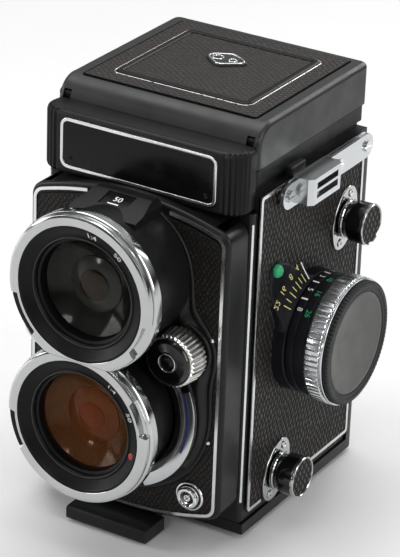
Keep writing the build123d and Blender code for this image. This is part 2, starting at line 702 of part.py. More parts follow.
with BuildPart() as release_button:
    add(turned([(-52.0, 0), (-52.0, 3.0), (-55.4, 3.0), (-56.0, 2.4), (-56.0, 1.2), (-54.0, 0.8),
                (-54.0, 0)], (button_centre[0], 0, button_centre[1]), Y_AXIS))
release_button.part.label = "release_button"
export_step(release_button.part, "parts/release_button.step")

# ================= knobs, crank and film drive =================

collar_face = body_half_width + collar_depth
with BuildPart() as focus_barrel:
    add(turned([(34.6, 0), (34.6, 4.0), (collar_face + 0.4, 4.0), (collar_face + 0.4, 20.9),
                (51.2, 20.9), (51.2, 21.2), (54.0, 21.2), (54.0, 0)], (0, *focus_axis), X_AXIS))
focus_barrel.part.label = "focus_barrel"
export_step(focus_barrel.part, "parts/focus_barrel.step")

with BuildPart() as focus_grip_ring:
    add(turned([(51.2, 21.2), (51.2, 21.5), (51.6, 21.9), (58.0, 21.9), (58.4, 21.5),
                (58.4, 20.4), (54.0, 20.4), (54.0, 21.2)], (0, *focus_axis), X_AXIS))
    with Locations(Plane(origin=(54.6, *focus_axis), x_dir=(0, 1, 0), z_dir=X_AXIS)):
        with PolarLocations(22.1, 48):
            Box(1.0, 1.2, 5.6, mode=Mode.SUBTRACT)
focus_grip_ring.part.label = "focus_grip_ring"
export_step(focus_grip_ring.part, "parts/focus_grip_ring.step")

with BuildPart() as film_dial:
    add(turned([(54.4, 0), (54.4, 20.0), (58.6, 20.0), (58.6, 21.3), (59.6, 21.3), (60.2, 20.4),
                (60.2, 18.6), (59.0, 17.2), (58.6, 0)], (0, *focus_axis), X_AXIS))
film_dial.part.label = "film_dial"
export_step(film_dial.part, "parts/film_dial.step")

knob_face = 50.7
knob_radius = 7.15
for name, axis in (("upper_knob", upper_spool), ("lower_knob", lower_spool)):
    with BuildPart() as spool_knob:
        add(turned([(31.0, 0), (31.6, 2.2), (41.4, 2.2), (41.4, 6.6), (41.8, 6.9), (49.6, 6.9),
                    (49.6, knob_radius), (knob_face, knob_radius), (knob_face, 6.5),
                    (knob_face - 0.3, 6.5), (knob_face - 0.3, 0)], (0, *axis), X_AXIS))
    spool_knob.part.label = name
    export_step(spool_knob.part, f"parts/{name}.step")


def spur_gear(teeth, centre, phase, face_x, thickness):
    """A spur gear about X: trapezoidal teeth, thinned for backlash, on a root disc."""
    pitch_radius = gear_module * teeth / 2
    root = pitch_radius - 1.0
    tip = pitch_radius + 0.55
    with BuildPart() as gear:
        with BuildSketch(Plane(origin=(face_x, *centre), x_dir=(0, 1, 0), z_dir=X_AXIS)):
            Circle(root)
            with PolarLocations(0, teeth, start_angle=phase):
                Polygon((root - 0.2, -0.62), (tip, -0.2), (tip, 0.2), (root - 0.2, 0.62), align=None)
        extrude(amount=thickness)
    return gear.part


gear_x = -36.6
gear_width = 2.0
drive_angle = degrees(atan2(upper_spool[1] - crank_axis[1], upper_spool[0] - crank_axis[0]))
crank_teeth = 24
idler_teeth = 25

with BuildPart() as crank_gear:
    add(spur_gear(crank_teeth, crank_axis, drive_angle, gear_x, gear_width))
    add(rod((-41.0, *crank_axis), 6.6, 3.0, X_AXIS))
crank_gear.part.label = "crank_gear"
export_step(crank_gear.part, "parts/crank_gear.step")

with BuildPart() as idler_gear:
    add(spur_gear(idler_teeth, idler_axis, drive_angle + 180 + 180 / idler_teeth, gear_x, gear_width))
    add(rod((gear_x - 1, *idler_axis), 4, idler_pin + pin_gap, X_AXIS), mode=Mode.SUBTRACT)
idler_gear.part.label = "idler_gear"
export_step(idler_gear.part, "parts/idler_gear.step")

with BuildPart() as spool_gear:
    add(spur_gear(crank_teeth, upper_spool, drive_angle + 180 + 180 / crank_teeth, gear_x, gear_width))
    add(rod((gear_x, *upper_spool), 5.1, 3.0, X_AXIS))
spool_gear.part.label = "spool_gear"
export_step(spool_gear.part, "parts/spool_gear.step")

spool_half = 32.4
with BuildPart() as take_up_spool:
    add(turned([(-spool_half, 0), (-spool_half, 12.5), (-spool_half + 1, 12.5),
                (-spool_half + 1, 5.6), (spool_half - 1, 5.6), (spool_half - 1, 12.5),
                (spool_half, 12.5), (spool_half, 0)], (0, *upper_spool), X_AXIS))
    add(rod((-spool_half, *upper_spool), 0.9, 3.0, X_AXIS), mode=Mode.SUBTRACT)
    add(rod((30.0, *upper_spool), 3, 2.6, X_AXIS), mode=Mode.SUBTRACT)
    block((-26, 26), (upper_spool[0] - 0.6, upper_spool[0] + 0.6),
          (upper_spool[1], upper_spool[1] + 7), Mode.SUBTRACT)
take_up_spool.part.label = "take_up_spool"
export_step(take_up_spool.part, "parts/take_up_spool.step")

crank_plate_x = -41.0
arm_angle = -118.0
arm_length = 21.0
with BuildPart() as crank:
    add(turned([(crank_plate_x - 2.2, 0), (crank_plate_x - 2.2, 11.2), (crank_plate_x - 1.8, 11.8),
                (crank_plate_x, 11.8), (crank_plate_x, 0)], (0, *crank_axis), X_AXIS))
    arm_along = (0, cos(radians(arm_angle)), sin(radians(arm_angle)))
    with BuildSketch(Plane(origin=(crank_plate_x - 2.2, *crank_axis), x_dir=arm_along,
                           z_dir=X_AXIS)):
        with Locations((arm_length / 2, 0)):
            SlotCenterToCenter(arm_length, 8.4)
    extrude(amount=-2.4)
    # handle at the arm's end, standing outwards
    add(rod((-50.6, crank_axis[0] + arm_length * arm_along[1],
             crank_axis[1] + arm_length * arm_along[2]), 5.2, 4.2, X_AXIS))
crank.part.label = "crank"
export_step(crank.part, "parts/crank.step")

# ================= back =================

tray_front = 35.4
cover_top = 117.6
cover_bottom = 2.0
floor_top = 5.9
inner_half = 37.7
inner_back = 39.2
foot_radius = 3.2
foot_places = ((-30, -26), (30, -26), (-30, 31), (30, 31))
socket_depth = 8.0
socket_radius = 3.175
socket_flange = 9.0
with BuildPart() as back_cover:
    block((-body_half_width, body_half_width), (tray_front, body_back), (cover_bottom, cover_top))
    block((-body_half_width, body_half_width), (-36.5, body_back), (cover_bottom, floor_top))
    fillet(back_cover.edges().filter_by(Axis.Z).group_by(Axis.Y)[-1], 3.5)
    block((-inner_half, inner_half), (tray_front, inner_back), (floor_top - 0.1, cover_top - 1.6),
          Mode.SUBTRACT)
    block((-inner_half, inner_half), (-34.8, inner_back), (3.7, floor_top), Mode.SUBTRACT)
    for x in knuckle_starts:
        add(rod((x - 0.2, *back_axis), knuckle_length + 0.4, knuckle_radius + 0.3, X_AXIS),
            mode=Mode.SUBTRACT)
    block((-19.5, 19.5), (38.5, body_back), (cover_top - 3, back_axis[1]))
    add(rod((-19.5, *back_axis), 39, knuckle_radius, X_AXIS))
    add(rod((-20, *back_axis), 40, back_pin + pin_gap, X_AXIS), mode=Mode.SUBTRACT)
    with Locations(*foot_places):
        Cylinder(foot_radius, cover_bottom, align=UPRIGHT)
    for side in (-1, 1):
        ends = sorted((side * 12.0, side * 15.0))
        block(ends, (latch_axis[0], -36.5), (latch_axis[1] - 1.5, latch_axis[1] + 1.5))
        add(rod((ends[0], *latch_axis), 3, 1.5, X_AXIS))
    add(rod((-16, *latch_axis), 32, latch_pin + pin_gap, X_AXIS), mode=Mode.SUBTRACT)
    with Locations((0, 0, 0)):
        Cylinder(socket_flange, 12, align=UPRIGHT, mode=Mode.SUBTRACT)
back_cover.part.label = "back_cover"
export_step(back_cover.part, "parts/back_cover.step")

with BuildPart() as tripod_socket:
    with Locations((0, 0, 0)):
        Cylinder(socket_flange, socket_depth + 1.4, align=UPRIGHT)
    chamfer(tripod_socket.faces().sort_by(Axis.Z)[0].edges(), 0.5)
    with Locations((0, 0, 0)):
        Cylinder(socket_radius, socket_depth, align=UPRIGHT, mode=Mode.SUBTRACT)
tripod_socket.part.label = "tripod_socket"
export_step(tripod_socket.part, "parts/tripod_socket.step")

with BuildPart() as pressure_plate:
    block((-31, 31), (36.4, 37.8), (gate_bottom, gate_top))
    # spring pads at its corners
    for x in (-24, 24):
        for z in (26, 71):
            block((x - 2.5, x + 2.5), (37.8, inner_back), (z - 2.5, z + 2.5))
pressure_plate.part.label = "pressure_plate"
export_step(pressure_plate.part, "parts/pressure_plate.step")

bar_half = 15.5
yoke_half = 11.7
with BuildPart() as back_latch:
    block((-bar_half, bar_half), (-58.9, -46.5), (1.0, 5.7))
    chamfer(back_latch.edges().filter_by(Axis.X).group_by(Axis.Y)[0], 0.6)
    block((-yoke_half, yoke_half), (-46.6, latch_axis[0]), (2.8, 5.2))
    add(rod((-yoke_half, *latch_axis), 2 * yoke_half, 1.5, X_AXIS))
    add(rod((-14.8, *latch_axis), 29.6, latch_pin, X_AXIS))
back_latch.part.label = "back_latch"
export_step(back_latch.part, "parts/back_latch.step")

# ================= focusing hood =================

lid_top = 146.4
lid_wall = 1.2
front_round = 8.0
edge_round = 1.8
lid_ceiling = lid_top - 0.9
magnifier_axis = (31.0, 143.8)
magnifier_pin = 0.4
inset_depth = 0.3
inset_x = 32.6
inset_y = (-27.1, 35.1)
with BuildPart() as lid_hollow:
    block((-hood_half + lid_wall, hood_half - lid_wall), (hood_front + lid_wall, hood_back - lid_wall),
          (hood_seam - 1, lid_ceiling))
    fillet(lid_hollow.edges().filter_by(Axis.X).group_by(Axis.Y)[0].group_by(Axis.Z)[-1], 6.8)

with BuildPart() as hood_lid:
    block((-hood_half, hood_half), (hood_front, hood_back), (hood_seam, lid_top))
    fillet(hood_lid.edges().filter_by(Axis.X).group_by(Axis.Y)[0].group_by(Axis.Z)[-1], front_round)
    fillet(hood_lid.edges().filter_by(Axis.Z).group_by(Axis.Y)[-1], 3.0)
    top_edges = hood_lid.faces().sort_by(Axis.Z)[-1].edges().sort_by(Axis.Y)[1:]
    fillet(top_edges, edge_round)
    add(lid_hollow.part, mode=Mode.SUBTRACT)
    # notches for the hinge ears, bosses for the hinge pins
    for side in (-1, 1):
        notch = sorted((side * (ear_x[0] - 0.25), side * (ear_x[1] + 0.25)))
        block(notch, (hood_front, lid_axis[0] + 1.6), (hood_seam, lid_axis[1] + 1.7), Mode.SUBTRACT)
        boss = sorted((side * (ear_x[1] + 0.3), side * (hood_half - 0.4)))
        add(rod((boss[0], *lid_axis), boss[1] - boss[0], 1.5, X_AXIS))
        hole = sorted((side * ear_x[1], side * lid_pin_end))
        add(rod((hole[0], *lid_axis), hole[1] - hole[0], lid_pin_radius + pin_gap, X_AXIS),
            mode=Mode.SUBTRACT)
        lug = sorted((side * 12.6, side * 13.8))
        block(lug, (magnifier_axis[0] - 1, magnifier_axis[0] + 1), (142.8, lid_ceiling))
    add(rod((-14, *magnifier_axis), 28, magnifier_pin + 0.1, X_AXIS), mode=Mode.SUBTRACT)
    block((-inset_x, inset_x), inset_y, (lid_top - inset_depth, lid_top), Mode.SUBTRACT)
hood_lid.part.label = "hood_lid"
export_step(hood_lid.part, "parts/hood_lid.step")

panel_x = 26.2
panel_front = -20.8
panel_back = 29.0
with BuildPart() as lid_covering:
    block((-inset_x, inset_x), inset_y, (lid_top - inset_depth, lid_top + 0.2))
lid_covering.part.label = "lid_covering"
export_step(lid_covering.part, "parts/lid_covering.step")

with BuildPart() as lid_panel:
    with BuildSketch(Plane.XY.offset(lid_top + 0.2)):
        with Locations((0, (panel_front + panel_back) / 2)):
            RectangleRounded(2 * panel_x, panel_back - panel_front, 2.0)
    extrude(amount=top_height - lid_top - 0.2)
lid_panel.part.label = "lid_panel"
export_step(lid_panel.part, "parts/lid_panel.step")

leaf_sheet = 0.8
for side, name in ((-1, "hood_wall_left"), (1, "hood_wall_right")):
    with BuildPart() as side_leaf:
        with BuildSketch(Plane.XY.offset(leaf_axis[1] - leaf_sheet / 2)):
            outer_x = side * leaf_axis[0]
            inner_x = side * (leaf_axis[0] - leaf_height)
            with BuildLine():
                Polyline((outer_x, leaf_front), (inner_x, leaf_front), (inner_x, 3.0),
                         (side * (leaf_axis[0] - 1.4), leaf_back), (outer_x, leaf_back),
                         close=True)
            make_face()
        extrude(amount=leaf_sheet)
        add(rod((outer_x, leaf_front, leaf_axis[1]), leaf_back - leaf_front, 1.0, Y_AXIS))
        add(rod((outer_x, leaf_front - 1, leaf_axis[1]), leaf_back - leaf_front + 2,
                leaf_pin + pin_gap, Y_AXIS), mode=Mode.SUBTRACT)
    side_leaf.part.label = name
    export_step(side_leaf.part, f"parts/{name}.step")

with BuildPart() as hood_wall_rear:
    block((-31, 31), (rear_leaf_axis[0] - leaf_height, rear_leaf_axis[0]),
          (rear_leaf_axis[1] - leaf_sheet / 2, rear_leaf_axis[1] + leaf_sheet / 2))
    add(rod((-31, *rear_leaf_axis), 62, 1.0, X_AXIS))
    add(rod((-32, *rear_leaf_axis), 64, leaf_pin + pin_gap, X_AXIS), mode=Mode.SUBTRACT)
hood_wall_rear.part.label = "hood_wall_rear"
export_step(hood_wall_rear.part, "parts/hood_wall_rear.step")

lens_centre = (0, 17.5)
lens_radius = 9.2
with BuildPart() as magnifier_frame:
    block((-12.2, 12.2), (7.0, magnifier_axis[0]), (143.3, 144.3))
    add(rod((-12.2, *magnifier_axis), 24.4, 1.0, X_AXIS))
    add(rod((-13.7, *magnifier_axis), 27.4, magnifier_pin, X_AXIS))
    with Locations((*lens_centre, 142.3)):
        Cylinder(lens_radius + 1.2, 2.6, align=UPRIGHT)
        Cylinder(lens_radius, 2.6, align=UPRIGHT, mode=Mode.SUBTRACT)
magnifier_frame.part.label = "magnifier_frame"
export_step(magnifier_frame.part, "parts/magnifier_frame.step")

with BuildPart() as magnifier_lens:
    with Locations((*lens_centre, 142.6)):
        Cylinder(lens_radius, 2.0, align=UPRIGHT)
magnifier_lens.part.label = "magnifier_lens"
export_step(magnifier_lens.part, "parts/magnifier_lens.step")
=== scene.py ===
import math

import bmesh
import bpy
import numpy as np
from mathutils import Matrix, Vector


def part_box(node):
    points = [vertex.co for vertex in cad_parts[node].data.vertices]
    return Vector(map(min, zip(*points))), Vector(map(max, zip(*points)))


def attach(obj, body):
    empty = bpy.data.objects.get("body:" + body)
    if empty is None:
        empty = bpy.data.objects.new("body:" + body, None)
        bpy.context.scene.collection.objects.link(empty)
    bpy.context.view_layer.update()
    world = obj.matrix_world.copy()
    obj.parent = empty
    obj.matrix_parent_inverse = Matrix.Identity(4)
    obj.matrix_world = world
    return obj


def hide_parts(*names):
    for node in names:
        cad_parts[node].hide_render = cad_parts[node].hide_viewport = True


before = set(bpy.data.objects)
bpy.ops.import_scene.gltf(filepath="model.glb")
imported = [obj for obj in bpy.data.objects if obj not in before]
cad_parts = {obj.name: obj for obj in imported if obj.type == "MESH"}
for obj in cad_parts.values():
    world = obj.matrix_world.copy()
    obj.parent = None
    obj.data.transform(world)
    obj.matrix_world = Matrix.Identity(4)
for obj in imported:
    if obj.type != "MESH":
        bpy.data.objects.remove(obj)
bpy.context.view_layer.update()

# Twin lens reflex camera. Shapes are worked out in millimetres in the frame's axes
# (+X to the focusing knob, +Y to the back, +Z up) and written in metres.
MM = 0.001
TAU = 2 * math.pi


def span(node):
    """Lowest and highest corners of a CAD node at rest, in millimetres."""
    low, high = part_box(node)
    return Vector(low) / MM, Vector(high) / MM


def new_object(name, data):
    """An object of the scene that holds the data."""
    item = bpy.data.objects.new(name, data)
    bpy.context.scene.collection.objects.link(item)
    return item


# ---- materials ----

def add_node(tree, kind, values=None, links=None, **settings):
    """A shader node with values and links for its inputs, by name or number."""
    node = tree.nodes.new(kind)
    for key, value in settings.items():
        setattr(node, key, value)
    for key, value in (values or {}).items():
        node.inputs[key].default_value = value
    for key, output in (links or {}).items():
        tree.links.new(output, node.inputs[key])
    return node


def add_ramp(tree, factor, stops):
    """A colour ramp; stops are (position, grey or colour)."""
    node = add_node(tree, "ShaderNodeValToRGB", links={"Fac": factor})
    ramp = node.color_ramp
    while len(ramp.elements) < len(stops):
        ramp.elements.new(0.5)
    for stop, (position, value) in zip(ramp.elements, stops):
        stop.position = position
        value = (value,) * 3 if isinstance(value, float) else tuple(value)
        stop.color = value + (1.0,)
    return node.outputs["Color"]


def multiplied(tree, first, second):
    """Product of two colours."""
    return add_node(tree, "ShaderNodeMix", {0: 1.0}, {6: first, 7: second},
                    data_type="RGBA", blend_type="MULTIPLY").outputs[2]


class Surface:
    """A Principled material with helpers that add procedural detail to it."""

    def __init__(self, name, colour, roughness, metallic=0.0, **sockets):
        self.material = bpy.data.materials.new(name)
        self.material.use_nodes = True
        self.tree = self.material.node_tree
        self.shader = self.tree.nodes["Principled BSDF"]
        self.colour = tuple(colour) + (1.0,)
        self.shader.inputs["Base Color"].default_value = self.colour
        self.shader.inputs["Roughness"].default_value = roughness
        self.shader.inputs["Metallic"].default_value = metallic
        for key, value in sockets.items():
            self.shader.inputs[key.replace("_", " ")].default_value = value
        self.coordinates = self.add("ShaderNodeTexCoord").outputs["Object"]
        self.height = None

    def add(self, kind, values=None, links=None, **settings):
        return add_node(self.tree, kind, values, links, **settings)

    def link(self, output, socket):
        self.tree.links.new(output, self.shader.inputs[socket])

    def noise(self, scale, detail=4.0, stretch=None, rough=0.55):
        vector = self.coordinates
        if stretch:
            vector = self.add("ShaderNodeMapping", {"Scale": stretch},
                              {"Vector": vector}).outputs["Vector"]
        return self.add("ShaderNodeTexNoise",
                        {"Scale": scale, "Detail": detail, "Roughness": rough},
                        {"Vector": vector}).outputs["Fac"]

    def ramp(self, factor, stops):
        return add_ramp(self.tree, factor, stops)

    def vary_colour(self, factor, dark, light):
        """Multiplies the colour between two levels of brightness."""
        low = [c * dark for c in self.colour[:3]]
        high = [c * light for c in self.colour[:3]]
        self.link(self.ramp(factor, [(0.3, low), (0.7, high)]), "Base Color")

    def vary_roughness(self, factor, low, high):
        self.link(self.ramp(factor, [(0.3, low), (0.7, high)]), "Roughness")

    def bump(self, height, depth_mm, strength=1.0):
        """Stacks a bump of a real depth under the ones already there."""
        node = self.add("ShaderNodeBump", {"Strength": strength, "Distance": depth_mm * MM},
                        {"Height": height})
        if self.height is not None:
            self.tree.links.new(self.height, node.inputs["Normal"])
        self.height = node.outputs["Normal"]
        self.link(self.height, "Normal")


def painted(name, colour, roughness, grain=0.012, coat=0.0, shine=0.32):
    """Satin or gloss paint: orange peel, faint dust and uneven sheen."""
    s = Surface(name, colour, roughness, Coat_Weight=coat, Coat_Roughness=0.12,
                Specular_IOR_Level=shine)
    s.vary_colour(s.noise(60, 5), 0.8, 1.3)
    s.vary_roughness(s.noise(140, 6), max(roughness - 0.06, 0.05), roughness + 0.08)
    s.bump(s.noise(2600, 3), grain)
    s.bump(s.noise(420, 2), grain * 1.5, 0.5)
    return s.material


def metal(name, colour, roughness, stretch=None, scale=3000, grain=0.003, wear=1.0):
    """Plated or turned metal: fine scratches, smudges and slight tarnish."""
    s = Surface(name, colour, roughness, 1.0)
    s.vary_colour(s.noise(90, 5), 1 - 0.1 * wear, 1 + 0.06 * wear)
    s.vary_roughness(s.noise(170, 8, rough=0.7), roughness * (1 - 0.25 * wear),
                     roughness * (1 + 0.35 * wear) + 0.01)
    s.bump(s.noise(scale, 2, stretch), grain)
    return s.material


def embossed(name, groove, crown, roughness):
    """Embossed leather; the cell relief is in the mesh and its height in an attribute, which
    also darkens the grooves as painted shade.
    """
    s = Surface(name, crown, roughness, Specular_IOR_Level=0.28)
    relief = s.add("ShaderNodeAttribute", attribute_name="relief").outputs["Fac"]
    pores = s.add("ShaderNodeTexVoronoi", {"Scale": 2300}, {"Vector": s.coordinates},
                  feature="DISTANCE_TO_EDGE").outputs["Distance"]
    # painted shade: the colour runs from near black in the grooves to the crown colour,
    # standing in for the shade that falls between the cells
    tone = s.ramp(relief, [(0.22, groove), (0.92, crown)])
    worn = s.ramp(s.noise(520, 6), [(0.35, (0.75, 0.75, 0.75)), (0.72, (1.35, 1.3, 1.25))])
    s.link(multiplied(s.tree, tone, worn), "Base Color")
    s.link(s.ramp(relief, [(0.1, roughness + 0.3), (0.85, roughness)]), "Roughness")
    s.bump(s.noise(3600, 4), 0.02)
    s.bump(pores, 0.015, 0.5)
    return s.material


def anodised(name, colour, roughness, squeeze):
    """Anodised black with the faint rings a lathe leaves across the squeezed axis."""
    s = Surface(name, colour, roughness, Specular_IOR_Level=0.15)
    s.vary_colour(s.noise(70, 5), 0.85, 1.25)
    s.vary_roughness(s.noise(200, 5, squeeze), roughness - 0.05, roughness + 0.07)
    s.bump(s.noise(900, 2, squeeze), 0.008)
    s.bump(s.noise(3800, 2), 0.006)
    return s.material


def enamel(name, *colour):
    """Paint filled into engraved marks."""
    s = Surface(name, colour, 0.45)
    s.vary_colour(s.noise(900, 4), 0.86, 1.08)
    s.bump(s.noise(2500, 3), 0.01)
    return s.material


def coating(name, tint, clear):
    """Thin tinted coating: nearly clear face on, denser where the glass curves away.
    The reflections come from the elements behind it."""
    s = Surface(name, tint, 0.5, Specular_IOR_Level=0.0)
    s.vary_colour(s.noise(500, 6, rough=0.7), 0.85, 1.15)
    edge = s.add("ShaderNodeLayerWeight", {"Blend": 0.35}).outputs["Facing"]
    s.link(s.ramp(edge, [(0.2, clear), (0.95, clear + 0.4)]), "Alpha")
    return s.material


def element(name, colour, roughness, coat_tint):
    """Inner element: dark coated glass whose reflection has the coating's colour. Its base
    colour is painted reflection, standing in for the coloured glow the coatings give the lens.
    """
    s = Surface(name, colour, roughness, Specular_IOR_Level=0.4,
                Specular_Tint=coat_tint + (1.0,))
    s.vary_colour(s.noise(60, 3), 0.8, 1.2)
    return s.material


def clear_glass(name, *tint):
    """Clear polished glass with a trace of dust."""
    s = Surface(name, tint, 0.02, Transmission_Weight=1.0, IOR=1.5)
    s.vary_roughness(s.noise(500, 6, rough=0.7), 0.01, 0.03)
    return s.material


FINISHES = {
    painted: {
        "satin_black": ((0.0052, 0.0054, 0.0054), 0.34, 0.012, 0.0, 0.26),
        "hood_black": ((0.0085, 0.009, 0.0088), 0.4, 0.014, 0.0, 0.4),
        "crackle_black": ((0.0042, 0.0044, 0.0044), 0.45, 0.02, 0.0, 0.2),
        "lip_black": ((0.002, 0.002, 0.002), 0.3, 0.004, 0.0, 0.16),
        # painted shade: the hood base is darker than the lid, as the shade under the lid's
        # overhang
        "base_black": ((0.0035, 0.0037, 0.0036), 0.42, 0.012, 0.0, 0.2),
        # painted shadow: near black without shine, for bands put where shade falls in gaps and
        # grooves
        "groove_black": ((0.0008, 0.0008, 0.0008), 0.6, 0.01, 0.0, 0.03),
        "nameplate": ((0.0035, 0.0035, 0.004), 0.22, 0.003, 0.0, 0.18),
        "dial_grey": ((0.035, 0.034, 0.032), 0.36, 0.005, 0.0, 0.5),
        "rubber_black": ((0.009, 0.009, 0.009), 0.5, 0.012),
        "knob_black": ((0.003, 0.003, 0.0034), 0.15, 0.002, 0.35),
        "leaf_black": ((0.01, 0.01, 0.01), 0.55, 0.012),
        "spool_plastic": ((0.01, 0.01, 0.01), 0.4, 0.01),
    },
    embossed: {
        # painted shade colour of the grooves, colour of the crowns, roughness
        "leather": ((0.0008, 0.0008, 0.0007), (0.042, 0.038, 0.032), 0.4),
        "front_leather": ((0.0008, 0.0007, 0.0006), (0.019, 0.014, 0.01), 0.42),
        "lid_leather": ((0.006, 0.0048, 0.0042), (0.026, 0.021, 0.018), 0.42),
    },
    metal: {
        "silver_trim": ((0.72, 0.73, 0.73), 0.2, (1, 1, 0.1)),
        "satin_chrome": ((0.6, 0.62, 0.63), 0.2, (1, 0.15, 1), 1200, 0.0006, 0.35),
        "polished_chrome": ((0.7, 0.71, 0.71), 0.09, None, 300, 0.0008),
        "ring_chrome": ((0.5, 0.51, 0.505), 0.12, None, 700, 0.0006, 0.5),
        "knurl_chrome": ((0.7, 0.69, 0.66), 0.17, None, 900, 0.001),
        "mirror": ((0.85, 0.87, 0.88), 0.03, None, 100, 0.0005),
        "blade_steel": ((0.12, 0.12, 0.125), 0.3, None, 1800),
        "brass": ((0.7, 0.53, 0.25), 0.25, None, 1500),
        "socket_steel": ((0.6, 0.6, 0.62), 0.24, None, 1300),
    },
    anodised: {
        "barrel_black": ((0.0035, 0.0035, 0.004), 0.36, (1, 9, 1)),
        "focus_black": ((0.006, 0.006, 0.0085), 0.32, (9, 1, 1)),
    },
    coating: {
        "viewing_glass": ((0.01, 0.011, 0.01), 0.14),
        "taking_glass": ((0.075, 0.026, 0.009), 0.16),
    },
    element: {
        # painted reflection: glass has no colour of its own; the grey of the viewing lens and
        # the brown, amber and rust of the taking lens stand in for the coloured reflections of
        # the coatings
        "element_dark": ((0.012, 0.012, 0.0095), 0.1, (0.7, 0.72, 0.7)),
        "element_grey": ((0.042, 0.042, 0.038), 0.12, (0.8, 0.85, 0.85)),
        "element_deep": ((0.012, 0.008, 0.006), 0.08, (1.0, 0.85, 0.7)),
        "element_amber": ((0.13, 0.037, 0.012), 0.12, (1.0, 0.6, 0.4)),
        "element_rust": ((0.15, 0.03, 0.011), 0.1, (1.0, 0.45, 0.3)),
        "element_brown": ((0.085, 0.034, 0.011), 0.12, (1.0, 0.7, 0.5)),
    },
    clear_glass: {"screen_glass": (0.86, 0.88, 0.88), "magnifier_glass": (0.9, 0.92, 0.92)},
    enamel: {
        "white_mark": (0.8, 0.8, 0.76),
        "yellow_mark": (0.62, 0.58, 0.2),
        "green_mark": (0.015, 0.33, 0.13),
        "red_mark": (0.36, 0.02, 0.018),
        "blue_mark": (0.012, 0.02, 0.11),
    },
}
M = {name: make(name, *values)
     for make, table in FINISHES.items() for name, values in table.items()}

# Material slot of a finish, where it isn't the one of the same name.
SLOT_OF = {
    "front_leather": "leather", "lid_leather": "leather",
    "ring_chrome": "polished_chrome", "knurl_chrome": "polished_chrome",
    "satin_chrome": "polished_chrome", "focus_black": "barrel_black",
    "white_mark": "barrel_black", "yellow_mark": "barrel_black",
    "green_mark": "barrel_black", "red_mark": "barrel_black", "blue_mark": "satin_black",
    "crackle_black": "satin_black", "groove_black": "satin_black",
    "lip_black": "satin_black", "rubber_black": "satin_black",
}

# Finish of each CAD node that stays as it is.
CAD_FINISH = {
    # painted shade: the hood base takes the darker black
    "base_black": "hood_base",
    "satin_black": "body_casting standard_shell back_cover back_latch viewing_housing",
    "hood_black": "hood_lid",
    "silver_trim": "front_trim side_trims",
    "satin_chrome": "strap_lug_left strap_lug_right crank",
    "polished_chrome": "release_collar release_button lug_screws",
    "viewing_glass": "viewing_lens_rear",
    "taking_glass": "taking_lens_rear",
    "magnifier_glass": "magnifier_lens",
    "screen_glass": "focusing_screen",
    "mirror": "viewing_mirror",
    "blade_steel": "iris_blades shutter_blades pressure_plate",
    "leaf_black": "hood_wall_left hood_wall_right hood_wall_rear magnifier_frame",
    "brass": "crank_gear idler_gear spool_gear",
    "spool_plastic": "take_up_spool",
    "socket_steel": "tripod_socket film_rollers hinge_pins",
}
for finish, names in CAD_FINISH.items():
    for node_name in names.split():
        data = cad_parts[node_name].data
        data.materials.clear()
        data.materials.append(M[finish])


# ---- mesh helpers ----

def front(u, v, w):
    """Point of a front-facing outline: u is X, v is Z, w is the depth Y."""
    return Vector((u, w, v))


def side(u, v, w):
    """Point of a side outline: u is Y, v is Z, w is X."""
    return Vector((w, u, v))


def top(u, v, w):
    """Point of an outline seen from above: u is X, v is Y, w is the height Z."""
    return Vector((u, v, w))


def settle(name, mesh, finish, body, replaced, slot=None, crease=None):
    """Makes a mesh a smooth piece with its finish, on the body it moves with. It may take
    the place of a CAD node, and edges sharper than the crease angle stay sharp."""
    mesh.polygons.foreach_set("use_smooth", [True] * len(mesh.polygons))
    if crease:
        mesh.set_sharp_from_angle(angle=math.radians(crease))
    mesh.materials.append(M[finish])
    piece = new_object(name, mesh)
    slot = slot or SLOT_OF.get(finish, finish)
    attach(piece, body)
    if replaced:
        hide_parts(replaced)


def finish_piece(name, bm, finish, body, replaced=None, slot=None, crease=35.0):
    """Turns a bmesh in millimetres into a named piece that rides on a body."""
    bmesh.ops.remove_doubles(bm, verts=bm.verts, dist=0.0005)
    bmesh.ops.recalc_face_normals(bm, faces=bm.faces)
    bmesh.ops.scale(bm, vec=(MM, MM, MM), verts=bm.verts)
    mesh = bpy.data.meshes.new(name)
    bm.to_mesh(mesh)
    bm.free()
    settle(name, mesh, finish, body, replaced, slot, crease)


def add_rings(bm, rings, closed=False, capped=False):
    """Bridges rings of equal length with quads."""
    made = [[bm.verts.new(point) for point in ring] for ring in rings]
    pairs = list(zip(made, made[1:]))
    if closed:
        pairs.append((made[-1], made[0]))
    for first, second in pairs:
        count = len(first)
        for i in range(count):
            j = (i + 1) % count
            bm.faces.new((first[i], first[j], second[j], second[i]))
    if capped:
        bm.faces.new(made[0])
        bm.faces.new(made[-1])
    return made


def softened(profile, radius, closed=True, arc_steps=3):
    """Rounds every corner of a profile by up to the given radius."""
    points = [Vector(p) for p in profile]
    count = len(points)
    result = []
    for i, corner in enumerate(points):
        if not closed and i in (0, count - 1):
            result.append(corner)
            continue
        before = points[i - 1] - corner
        after = points[(i + 1) % count] - corner
        if min(before.length, after.length) < 1e-6:
            continue
        turn = before.angle(after)
        if turn > math.radians(172) or turn < math.radians(8):
            result.append(corner)
            continue
        cut = min(radius / math.tan(turn / 2), 0.45 * before.length, 0.45 * after.length)
        start = corner + before.normalized() * cut
        end = corner + after.normalized() * cut
        for step in range(arc_steps + 1):
            t = step / arc_steps
            result.append(start * (1 - t) ** 2 + corner * 2 * t * (1 - t) + end * t * t)
    return result


AXES = {
    "x": (Vector((1, 0, 0)), Vector((0, 1, 0)), Vector((0, 0, 1))),
    "y": (Vector((0, 1, 0)), Vector((1, 0, 0)), Vector((0, 0, 1))),
    "z": (Vector((0, 0, 1)), Vector((1, 0, 0)), Vector((0, 1, 0))),
}


